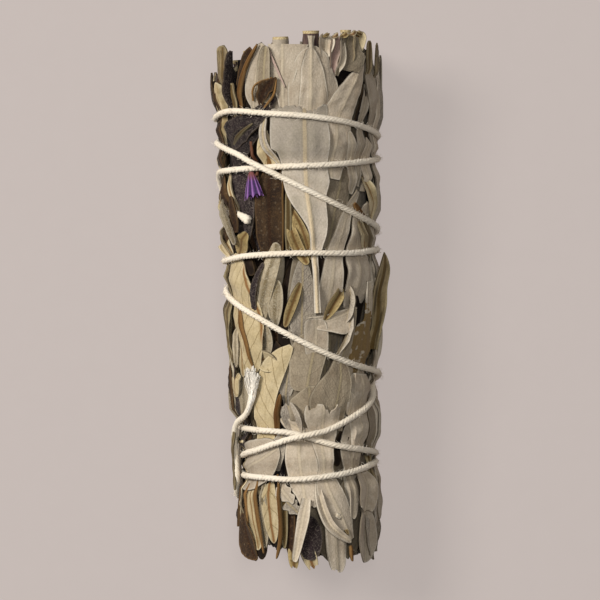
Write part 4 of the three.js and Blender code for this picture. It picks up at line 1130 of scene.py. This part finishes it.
for name, leaves in sprig_leaves.items():
    sprig = joined(name + "_leaves", leaves)
    apply_modifier(sprig, "SOLIDIFY", thickness=LEAF_THICKNESS, offset=SOLIDIFY_SIDE)
    lift_off_floor(sprig)
    bpy.ops.object.shade_smooth_by_angle(angle=math.radians(LEAF_CREASE))
    stands_for(sprig, name)
    print(sprig.name, triangles(sprig), "triangles")

# %% [markdown]
# ## A dark middle
# Behind the gaps one looks into a mass of crushed leaves without light. A single closed form does
# for it, and its near-black finish is painted shade: a grid is rolled up to a tube, its seam is
# merged, and its two ends are filled. The same roll makes the stems, the twine's plies and every
# loose thread further on.
# %% Rolled tubes
SEAM = 1e-6  # metres between points that are merged
CORE_DEPTH = 3.8
CORE_RADIUS = 12  # mm, to lay the leaf pattern round it
CORE_ENDS = (-45.5, 45.5)


def close_seams(piece, sides):
    select(piece)
    bpy.ops.object.mode_set(mode="EDIT")
    bpy.ops.mesh.select_all(action="SELECT")
    bpy.ops.mesh.remove_doubles(threshold=SEAM)
    bpy.ops.mesh.select_all(action="SELECT")
    bpy.ops.mesh.fill_holes(sides=sides)
    bpy.ops.object.mode_set(mode="OBJECT")


CORE_SIDES = 72
FAR_FROM_RIM = 5  # mm: no pale rim is drawn
core, side, share = grid_copy("crushed_middle", CORE_SIDES, 60)
core_turn, core_along = side * math.pi, CORE_ENDS[0] + share * (CORE_ENDS[1] - CORE_ENDS[0])
lumps = 0.5 * uneven(5, np.sin(core_turn) * 4, np.cos(core_turn) * 4, core_along / 3)
set_points(core, place(core_turn, core_along, pressed(core_turn, core_along, CORE_DEPTH + lumps)))
set_numbers(core, "leaf_mm", core_turn * CORE_RADIUS, core_along, FAR_FROM_RIM)
set_numbers(core, "leaf_tone", 0.3)
# painted shade: the crushed middle takes the near-black finish
core.data.materials.append(FINISHES["dark"])
close_seams(core, CORE_SIDES)
bpy.ops.object.shade_smooth()
stands_for(core, *SECTORS)
print(core.name, triangles(core), "triangles")

# %% [markdown]
# ## Frames along a line
# A rod needs to know, at each of its points, the way ahead, which way is out of the bundle and
# which is sideways. A point a little less deep on the map gives the way out.
# %% Frames


def frames(turn, along, depth):
    """Points of a line on the map, with the ways ahead, out and sideways at each."""
    middle = place(turn, along, depth)
    ahead = np.gradient(middle, axis=0)
    ahead /= np.linalg.norm(ahead, axis=1)[:, None]
    out = place(turn, along, depth - 0.5) - middle
    sideways = np.cross(ahead, out)
    sideways /= np.linalg.norm(sideways, axis=1)[:, None]
    return middle, ahead, np.cross(sideways, ahead), sideways


print("the way ahead on top:", frames(*np.array([(0, 0, 0), (0, 1, 0.0)]).T)[1][0].round(2))

# %% Rods


def rod(name, middle, out, radius, sides, start=0.0):
    """A rod round the points, with its ends still open."""
    piece, turn, share = grid_copy(name, sides, len(middle) - 1)
    at = np.rint(share * (len(middle) - 1)).astype(int)
    ahead = np.gradient(middle, axis=0)
    steps = np.linalg.norm(ahead, axis=1)
    ahead /= steps[:, None]
    sideways = np.cross(ahead, out)
    sideways /= np.linalg.norm(sideways, axis=1)[:, None]
    up = np.cross(sideways, ahead)
    radius = np.broadcast_to(radius, len(middle))[at]
    ring = np.cos(turn * math.pi)[:, None] * up[at] + np.sin(turn * math.pi)[:, None] * sideways[at]
    set_points(piece, middle[at] + radius[:, None] * ring)
    set_numbers(piece, "rod_mm", turn * math.pi * radius, np.cumsum(steps)[at] + start, start)
    return piece


print("a rod of 12 sides and 8 steps has", 12 * 8 * 2 + 2 * (12 - 2), "triangles")

# %% [markdown]
# ## Cut stems
# At the cut end a few woody stems stand between the folded leaves, sawn or snipped across. Each
# is a rod with ridged bark, and its end gets an inset face of pale pith.
# %% Stems
STEM_SIDES = 14
# grey-brown ridges that break the light into lines: reads as wood
bark, tree, output = new_material("ridged sage bark")
rod_mm = node(tree, "ShaderNodeAttribute", {"attribute_name": "rod_mm"}).outputs["Vector"]
ridged = node(tree, "ShaderNodeMapping", {"Scale": (2.6, 0.3, 1.0)}, {"Vector": rod_mm})
ridges = node(tree, "ShaderNodeTexNoise", {"Scale": 1.0, "Detail": 4.0},
              {"Vector": ridged.outputs[0]}).outputs["Fac"]
bark_colour = node(tree, "ShaderNodeValToRGB", {}, {"Fac": ridges})
bark_colour.color_ramp.elements[0].position = 0.35
bark_colour.color_ramp.elements[0].color = colour("2c1f21")
bark_colour.color_ramp.elements[1].position = 0.7
bark_colour.color_ramp.elements[1].color = colour("6b564a")
bark_bump = node(tree, "ShaderNodeBump", {"Strength": 0.8, "Distance": 0.2 * MM},
                 {"Height": ridges})
surface = node(tree, "ShaderNodeBsdfPrincipled", {"Roughness": 0.8, "Specular IOR Level": 0.25},
               {"Base Color": bark_colour.outputs[0], "Normal": bark_bump.outputs[0]})
tree.links.new(surface.outputs[0], output.inputs["Surface"])

# pale and pricked: a fresh cut among dull leaves. Its cells are too fine to show, so they are
# drawn 0.25 mm wide
pith, tree, output = new_material("cut pith")
place_in = node(tree, "ShaderNodeTexCoord").outputs["Object"]
pores = node(tree, "ShaderNodeTexVoronoi", {"Scale": per(0.25)},
             {"Vector": place_in}).outputs["Distance"]
pith_colour = node(tree, "ShaderNodeMix", {"data_type": "RGBA", 6: colour("c9b993"),
                                           7: colour("8f784f")}, {0: pores})
pith_bump = node(tree, "ShaderNodeBump", {"Strength": 0.6, "Distance": 0.1 * MM},
                 {"Height": pores})
surface = node(tree, "ShaderNodeBsdfPrincipled", {"Roughness": 0.9, "Specular IOR Level": 0.15},
               {"Base Color": pith_colour.outputs[2], "Normal": pith_bump.outputs[0]})
tree.links.new(surface.outputs[0], output.inputs["Surface"])

STEM_ROOT = 38  # mm along the bundle, where the stems begin inside it
STEM_CREASE = 40  # degrees
CUT_BEYOND = 46 * MM  # the faces that close the stems are there
# degrees round the bundle, depth, radius, and where it is cut
STEM_ENDS = [(0, 5, 1.2, 50.6), (-43, 5.2, 1.4, 49), (42, 4.4, 1.1, 50.2), (-87, 6, 1.1, 48),
             (83, 5.6, 1.3, 50), (127, 5.2, 1.5, 50.3), (177, 6.4, 1.4, 50.6),
             (227, 5.4, 1.7, 50.2), (13.2, 3.4, 1.7, 53.3)]
INNER_STEMS = 7
STEM_ENDS += [(vary(-110, 250), vary(7, 13), vary(0.9, 1.5), vary(47.5, 50))
              for n in range(INNER_STEMS)]
FELTED_ENDS = [(44, 3, 1.1, 53.6), (-11.4, 3.3, 1.6, 52.1)]


def stem(degrees, depth, radius, end, skin=bark):
    along = np.linspace(STEM_ROOT, end, 28)
    turn = np.radians(degrees) + 0 * along
    middle, _, out, _ = frames(turn, along, depth + 0.8 * (1 - smooth(STEM_ROOT, 48, along)))
    bulging = radius * (1 + 0.05 * np.sin(along * 2))
    made = rod("stem", middle, out, bulging, STEM_SIDES, start=degrees)
    set_numbers(made, "leaf_mm", 1, 0, FAR_FROM_RIM)
    made.data.materials.append(skin)
    made.data.materials.append(pith)
    close_seams(made, STEM_SIDES)
    for face in made.data.polygons:
        face.select = len(face.vertices) > 4 and face.center.y > CUT_BEYOND
        torn = face.center.y > (end + CENTRED - vary(0.25, 0.9)) * MM
        face.material_index = 1 if face.select or torn else 0
    bpy.ops.object.mode_set(mode="EDIT")
    bpy.ops.mesh.select_mode(type="FACE")
    bpy.ops.mesh.inset(thickness=0.12 * MM, depth=0.1 * MM)
    bpy.ops.mesh.inset(thickness=0.3 * radius * MM, depth=-0.12 * MM)
    bpy.ops.mesh.select_mode(type="VERT")
    bpy.ops.object.mode_set(mode="OBJECT")
    return made


stems = joined("cut_stems", [stem(*row) for row in STEM_ENDS]
               + [stem(*row, skin=FINISHES["pale"]) for row in FELTED_ENDS])
bpy.ops.object.shade_smooth_by_angle(angle=math.radians(STEM_CREASE))
stands_for(stems, *SECTORS)
print("cut stems:", len(STEM_ENDS) + len(FELTED_ENDS))

# %% [markdown]
# ## Cotton twine
# The twine is four plies laid round each other. Each ply is a rod on a helix round the route, and
# the twist is modelled, not drawn, because the light on it is what makes it look laid. The plies
# bulge and thin a little. They open at the cut end, and fade into loose threads at the tail.
# %% Cotton
# cream fibres in fine spun lines, a little soiled in places: soft, matt and clean against leaves
cotton, tree, output = new_material("unbleached cotton")
rod_mm = node(tree, "ShaderNodeAttribute", {"attribute_name": "rod_mm"}).outputs["Vector"]
place_in = node(tree, "ShaderNodeTexCoord").outputs["Object"]
# spun fibres are too fine to show, so they are drawn 0.1 mm apart; they run along each ply and
# slip off it after a millimetre
spun = node(tree, "ShaderNodeMapping", {"Scale": (9.0, 0.8, 1.0), "Rotation": (0, 0, 0.2)},
            {"Vector": rod_mm})
fibres = node(tree, "ShaderNodeTexNoise", {"Scale": 1.0, "Detail": 3.0},
              {"Vector": spun.outputs[0]}).outputs["Fac"]
soil = node(tree, "ShaderNodeTexNoise", {"Scale": per(9), "Detail": 3.0},
            {"Vector": place_in}).outputs["Fac"]
thread = node(tree, "ShaderNodeMix", {"data_type": "RGBA", 6: colour("d3c9b6"),
                                      7: colour("efe7da")}, {0: fibres}).outputs[2]
thread = node(tree, "ShaderNodeMix", {"data_type": "RGBA", "blend_type": "MULTIPLY",
                                      7: colour("f4ecdf")}, {0: soil, 6: thread}).outputs[2]
cotton_bump = node(tree, "ShaderNodeBump", {"Strength": 0.7, "Distance": 0.1 * MM},
                   {"Height": fibres})
surface = node(tree, "ShaderNodeBsdfPrincipled",
               {"Roughness": 0.95, "Specular IOR Level": 0.1, "Sheen Weight": 0.15},
               {"Base Color": thread, "Normal": cotton_bump.outputs[0]})
tree.links.new(surface.outputs[0], output.inputs["Surface"])

brushed_cotton_with_painted_light = cotton.copy()  # the same cotton, brushed, with painted light: lighter colours stand for the light that its loose fibres send back
brushed_cotton_with_painted_light.name = "brushed cotton"
for part in brushed_cotton_with_painted_light.node_tree.nodes:
    if part.type == "MIX" and part.blend_type == "MIX":
        part.inputs[6].default_value = colour("e2ddd3")
        part.inputs[7].default_value = colour("fbf9f5")
print("made", cotton.name, "and", brushed_cotton_with_painted_light.name)

# %% Plies
PLIES = 4
PLY_SIDES = 6
LAY = 3.1  # mm along the twine for one full turn of a ply
PLY_RADIUS = 0.37
PLY_REACH = 0.28  # from the middle of the twine to the middle of a ply
TAIL = 6.4  # mm that is brushed out
PLY_POINTS = 1900
unrolled = np.column_stack([ROUTE[:, 0] * UNROLLED_RADIUS, ROUTE[:, 1:]])
ply_route = evenly(unrolled, PLY_POINTS)
ply_route[:, 0] /= UNROLLED_RADIUS
middle, ahead, out, sideways = frames(*ply_route.T)
run = np.append(0, np.cumsum(np.linalg.norm(np.diff(middle, axis=0), axis=1)))
left_to_run = run[-1] - run
opened = 1 - smooth(0.6, 3.2, run)
brushed = 1 - smooth(0, TAIL, left_to_run)
plies = []
for n in range(PLIES):
    angle = 2 * math.pi * (run / LAY + n / PLIES) + 0.25 * uneven(30 + n, run / 14)
    reach = PLY_REACH * (1 + 0.6 * opened) * (1 + 0.06 * uneven(40 + n, run / 5))
    fan = (n - (PLIES - 1) / 2) * 0.5 * brushed
    offset_side = reach * np.cos(angle) * (1 - brushed) + fan
    offset_out = reach * np.sin(angle) * (1 - 0.35 * opened) * (1 - brushed)
    line = middle + offset_side[:, None] * sideways + offset_out[:, None] * out
    radius = PLY_RADIUS * (1 + 0.07 * uneven(50 + n, run / 2.2)) * (1 - 0.85 * brushed)
    radius *= 1 + 0.55 * opened
    plies.append(rod("ply", line, out, radius, PLY_SIDES, start=n * 1000.0))
print("twine:", round(run[-1]), "mm, with", round(run[-1] / LAY), "turns of lay")

# %% [markdown]
# ## The brushed-out tail and the fuzz
# The tail is combed into 150 threads, in three tufts. All over the twine, fibre ends stand off
# and curl. A hair is three sided and has four steps, because there are over two thousand;
# together they make the twine's outline soft.
# %% Threads and hairs
TUFTS = [(-1.25, 0.0), (0.3, 0.7), (1.2, -0.6)]  # mm sideways and beyond the route's end
THREADS = 150
HAIRS = 2400
THREAD_SIDES, HAIR_SIDES = 4, 3


def threads():
    made = []
    for n in range(THREADS):
        aside, beyond = TUFTS[n % 3]
        t = np.linspace(0, 1, 13)
        start = vary(TAIL, TAIL + 3)
        at = run[-1] - start + t * (start + beyond + vary(-1.6, 0.6))
        index = np.interp(np.minimum(at, run[-1]), run, range(len(run)))
        point, way, up, across = (np.stack([np.interp(index, range(len(run)), c) for c in part.T],
                                           axis=1) for part in (middle, ahead, out, sideways))
        point = point + np.maximum(at - run[-1], 0)[:, None] * way
        spread = smooth(0.25, 1, t)
        shift = (1 - spread) * vary(-0.5, 0.5) + spread * (aside + vary(-0.42, 0.42))
        shift += 0.1 * np.sin(t * vary(5, 11) + vary(0, 6)) * t
        lift = vary(-0.35, 0.45) * (1 - spread) + spread * vary(-0.3, 0.9)
        line = point + shift[:, None] * across + lift[:, None] * up
        radius = vary(0.07, 0.13) * (1 - 0.5 * t)
        made.append(rod("thread", line, up, radius, THREAD_SIDES, start=n * 7.0))
    return made


def hairs():
    made = []
    for n in range(HAIRS):
        i = int(chance.integers(10, len(middle) - 60))
        if ply_route[i, 2] > COVERED:
            continue
        angle, length = vary(-1.9, 1.9), vary(0.5, 1.8)
        away = math.cos(angle) * out[i] + math.sin(angle) * sideways[i]
        bend = vary(-1, 1) * ahead[i] + vary(-0.6, 0.6) * np.cross(away, ahead[i])
        t = np.linspace(0, 1, 5)[:, None]
        root = middle[i] + away * TWINE_RADIUS * 0.8
        line = root + away * length * 0.55 * t * (1.3 - 0.6 * t) + bend * length * 0.6 * t**1.6
        radius = 0.034 - 0.016 * t[:, 0]
        made.append(rod("hair", line, ahead[i] + 0.2 * away, radius, HAIR_SIDES, start=n))
    return made


tail_threads = threads()
fluff = hairs()
for piece in plies + fluff:
    piece.data.materials.append(cotton)
for piece in tail_threads:
    piece.data.materials.append(brushed_cotton_with_painted_light)
for name, pieces, sides in (("cotton_twine_plies", plies, PLY_SIDES),
                            ("cotton_twine_fuzz", tail_threads + fluff, THREAD_SIDES)):
    twine = joined(name, pieces)
    close_seams(twine, sides)
    lift_off_floor(twine)
    bpy.ops.object.shade_smooth()
    stands_for(twine, "cotton_twine")
    print(twine.name, triangles(twine), "triangles")

# %% [markdown]
# ## The statice calyx and its stalk
# Statice flowers dry with their colour. What lasts is the calyx: a papery funnel with pleats and
# a scalloped edge, violet on a red-brown neck, drawn deeper in the folds as painted shade and paler
# on the ridges as painted light. It lies flattened on its side, so the rolled grid's ring is
# squeezed, and the pleats are pushed in and out around it. The stalk runs under two turns of twine
# and is pressed as the leaves are.
# %% Violet paper and stalk
# violet, with painted shade in the folds and painted light on the ridges: the one strong colour,
# thin as paper
papery, tree, output = new_material("papery violet calyx")
petal = node(tree, "ShaderNodeAttribute", {"attribute_name": "calyx"}).outputs["Vector"]
ridge, share_down, _ = node(tree, "ShaderNodeSeparateXYZ", {}, {0: petal}).outputs
place_in = node(tree, "ShaderNodeTexCoord").outputs["Object"]
fine = node(tree, "ShaderNodeTexNoise", {"Scale": per(0.3), "Detail": 4.0},
            {"Vector": place_in}).outputs["Fac"]
ridge_noise = node(tree, "ShaderNodeMath", {"operation": "MULTIPLY_ADD", 1: 0.35},
                   {0: fine, 2: ridge})
violet = node(tree, "ShaderNodeValToRGB", {}, {"Fac": ridge_noise.outputs[0]})
violet.color_ramp.elements[0].position = 0.2
violet.color_ramp.elements[0].color = colour("241238")
violet.color_ramp.elements[1].position = 1.0
violet.color_ramp.elements[1].color = colour("8a6099")
violet.color_ramp.elements.new(0.6).color = colour("552f68")
neck = node(tree, "ShaderNodeMapRange", {"From Min": 0.1, "From Max": 0.4, "To Min": 0.9,
                                         "To Max": 0.0}, {"Value": share_down})
petal_colour = node(tree, "ShaderNodeMix", {"data_type": "RGBA", 7: colour("6d3a30")},
                    {0: neck.outputs[0], 6: violet.outputs[0]})
petal_bump = node(tree, "ShaderNodeBump", {"Strength": 0.5, "Distance": 0.08 * MM},
                  {"Height": fine})
surface = node(tree, "ShaderNodeBsdfPrincipled",
               {"Roughness": 0.7, "Specular IOR Level": 0.25, "Sheen Weight": 0.1},
               {"Base Color": petal_colour.outputs[2], "Normal": petal_bump.outputs[0]})
tree.links.new(surface.outputs[0], output.inputs["Surface"])

# red-brown streaks along a dry stalk, which ties the calyx to the bared ribs
red_stalk, tree, output = new_material("dry red-brown stalk")
rod_mm = node(tree, "ShaderNodeAttribute", {"attribute_name": "rod_mm"}).outputs["Vector"]
ridged = node(tree, "ShaderNodeMapping", {"Scale": (4.0, 0.4, 1.0)}, {"Vector": rod_mm})
ridges = node(tree, "ShaderNodeTexNoise", {"Scale": 1.0, "Detail": 3.0},
              {"Vector": ridged.outputs[0]}).outputs["Fac"]
stalk_colour = node(tree, "ShaderNodeMix", {"data_type": "RGBA", 6: colour("3c2418"),
                                            7: colour("74492f")}, {0: ridges})
stalk_bump = node(tree, "ShaderNodeBump", {"Strength": 0.7, "Distance": 0.1 * MM},
                  {"Height": ridges})
surface = node(tree, "ShaderNodeBsdfPrincipled", {"Roughness": 0.7, "Specular IOR Level": 0.3},
               {"Base Color": stalk_colour.outputs[2], "Normal": stalk_bump.outputs[0]})
tree.links.new(surface.outputs[0], output.inputs["Surface"])
print("made", papery.name, "and", red_stalk.name)

# %% Calyx and stalk
STALK_SIDES = 12
PAPER_THICKNESS = 0.1 * MM
CALYX_CREASE = 60  # degrees
CALYX = dict(apex=(-9.5, 25.4), mouth=(-9.0, 20.5), half=2.15, top=0.85, under=0.7, depth=0.1,
             pleats=9)
calyx, side, share = grid_copy("statice_calyx_funnel", CALYX["pleats"] * 8, 30)
angle = side * math.pi
ridge = 1 - 2 * np.abs(np.sin(angle * CALYX["pleats"] / 2)) ** 0.8
opening = share**0.8
scallop = share * (1 + 0.07 * ridge * smooth(0.6, 1, share))
half = 0.42 + (CALYX["half"] - 0.42) * opening + 0.1 * opening * ridge
height = np.where(np.sin(angle) > 0, CALYX["top"], CALYX["under"]) * (0.45 + 0.55 * opening)
across = CALYX["apex"][0] + (CALYX["mouth"][0] - CALYX["apex"][0]) * scallop
along = CALYX["apex"][1] + (CALYX["mouth"][1] - CALYX["apex"][1]) * scallop
along = along + 0.22 * half * np.cos(angle) * opening
turn = turn_seen(across, along, 0) + half * np.cos(angle) / ring_at(along)[1]
depth = CALYX["depth"] - (height + 0.14 * opening * ridge) * np.sin(angle)
set_points(calyx, place(turn, along, depth))
set_numbers(calyx, "calyx", 0.5 + 0.5 * ridge, share)
calyx.data.materials.append(papery)
close_seams(calyx, 3)
apply_modifier(calyx, "SOLIDIFY", thickness=PAPER_THICKNESS, offset=SOLIDIFY_SIDE)
bpy.ops.object.shade_smooth_by_angle(angle=math.radians(CALYX_CREASE))
stands_for(calyx, "statice_calyx")

along = np.linspace(31.4, 24.6, 50)
turn = turn_seen(-9.7 + 0.04 * (31.4 - along), along, 0.5)
stalk_middle, _, stalk_out, _ = frames(turn, along, pressed(turn, along, 0.45))
radius = 0.32 * (1 + 0.08 * uneven(77, along))
stalk = rod("statice_stalk_rod", stalk_middle, stalk_out, radius, STALK_SIDES)
stalk.data.materials.append(red_stalk)
close_seams(stalk, STALK_SIDES)
bpy.ops.object.shade_smooth()
stands_for(stalk, "statice_stalk")
print(calyx.name, triangles(calyx), "triangles;", stalk.name, triangles(stalk), "triangles")

# %% [markdown]
# ## Floor, camera and light
# The bundle lies on pale matt paper. The paper glows a little, so that it keeps one even tone out
# to its edges. The camera looks straight down through a long lens, which keeps the proportions
# plain. One large lamp to the left gives the form, a broader one above fills it, and the side
# turned away stays darker.
# %% Floor
bpy.ops.mesh.primitive_plane_add(size=6)  # metres, so that its edges stay out of view
floor = bpy.context.object
floor.name = "paper_floor"
floor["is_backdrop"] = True
# an even warm grey that keeps the eye on the bundle
paper, tree, output = new_material("matt backdrop paper")
place_in = node(tree, "ShaderNodeTexCoord").outputs["Object"]
pulp = node(tree, "ShaderNodeTexNoise", {"Scale": per(4), "Detail": 4.0},
            {"Vector": place_in}).outputs["Fac"]
paper_colour = node(tree, "ShaderNodeMix", {"data_type": "RGBA", 6: colour("5c5653"),
                                            7: colour("605a57")}, {0: pulp})
surface = node(tree, "ShaderNodeBsdfPrincipled",
               {"Roughness": 1.0, "Specular IOR Level": 0.0, "Emission Color": colour("c4b9b4"),
                "Emission Strength": 0.77}, {"Base Color": paper_colour.outputs[2]})
tree.links.new(surface.outputs[0], output.inputs["Surface"])
floor.data.materials.append(paper)
print("floor:", floor.name, "of", paper.name)

# %% Camera

SENSOR = 36  # mm
VIEW_WIDTH = 0.12  # metres across the frame at the height of the bundle's middle
CAMERA_HEIGHT = 1.2  # metres
MIDDLE_HEIGHT = 0.015  # of the bundle's middle
bpy.ops.object.camera_add(location=(0.0002, 0.00056, CAMERA_HEIGHT), rotation=(0, 0, 0))
camera = bpy.context.object
camera.data.sensor_width = SENSOR
camera.data.lens = SENSOR * (CAMERA_HEIGHT - MIDDLE_HEIGHT) / VIEW_WIDTH
camera.data.clip_start = 0.05
bpy.context.scene.camera = camera


print("camera lens:", round(camera.data.lens), "mm")

# %% Lamps


def lamp(name, place_at, size, power, tint):
    bpy.ops.object.light_add(type="AREA", location=place_at)
    made = bpy.context.object
    made.name = name
    made.data.size = size
    made.data.energy = power
    made.data.color = colour(tint)[:3]
    aim = np.array(place_at) - [0, 0, MIDDLE_HEIGHT]
    made.rotation_euler = (math.acos(aim[2] / np.linalg.norm(aim)), 0,
                           math.atan2(aim[1], aim[0]) + math.pi / 2)


lamp("left_lamp", (-0.7, 0.35, 0.8), 0.35, 14.5, "fffdfa")
lamp("upper_lamp", (0.1, 0.25, 1.6), 0.4, 9, "ffffff")
world = bpy.data.worlds.new("room") if not bpy.data.worlds else bpy.data.worlds[0]
bpy.context.scene.world = world
world.use_nodes = True
background = world.node_tree.nodes["Background"]
background.inputs["Color"].default_value = colour("e8e8ea")
background.inputs["Strength"].default_value = 0.12
bpy.context.scene.view_settings.view_transform = "Standard"

# %% [markdown]
# The dressed bundle has to stay within the solids' box, apart from what soft leaves may stand
# proud. Both boxes are printed, so they can be compared.
# %% Sizes
visual_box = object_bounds()
for name, box in (("solids", CAD_BOX), ("dressed", visual_box)):
    print(name, [[round(value * 1000, 1) for value in corner] for corner in box])
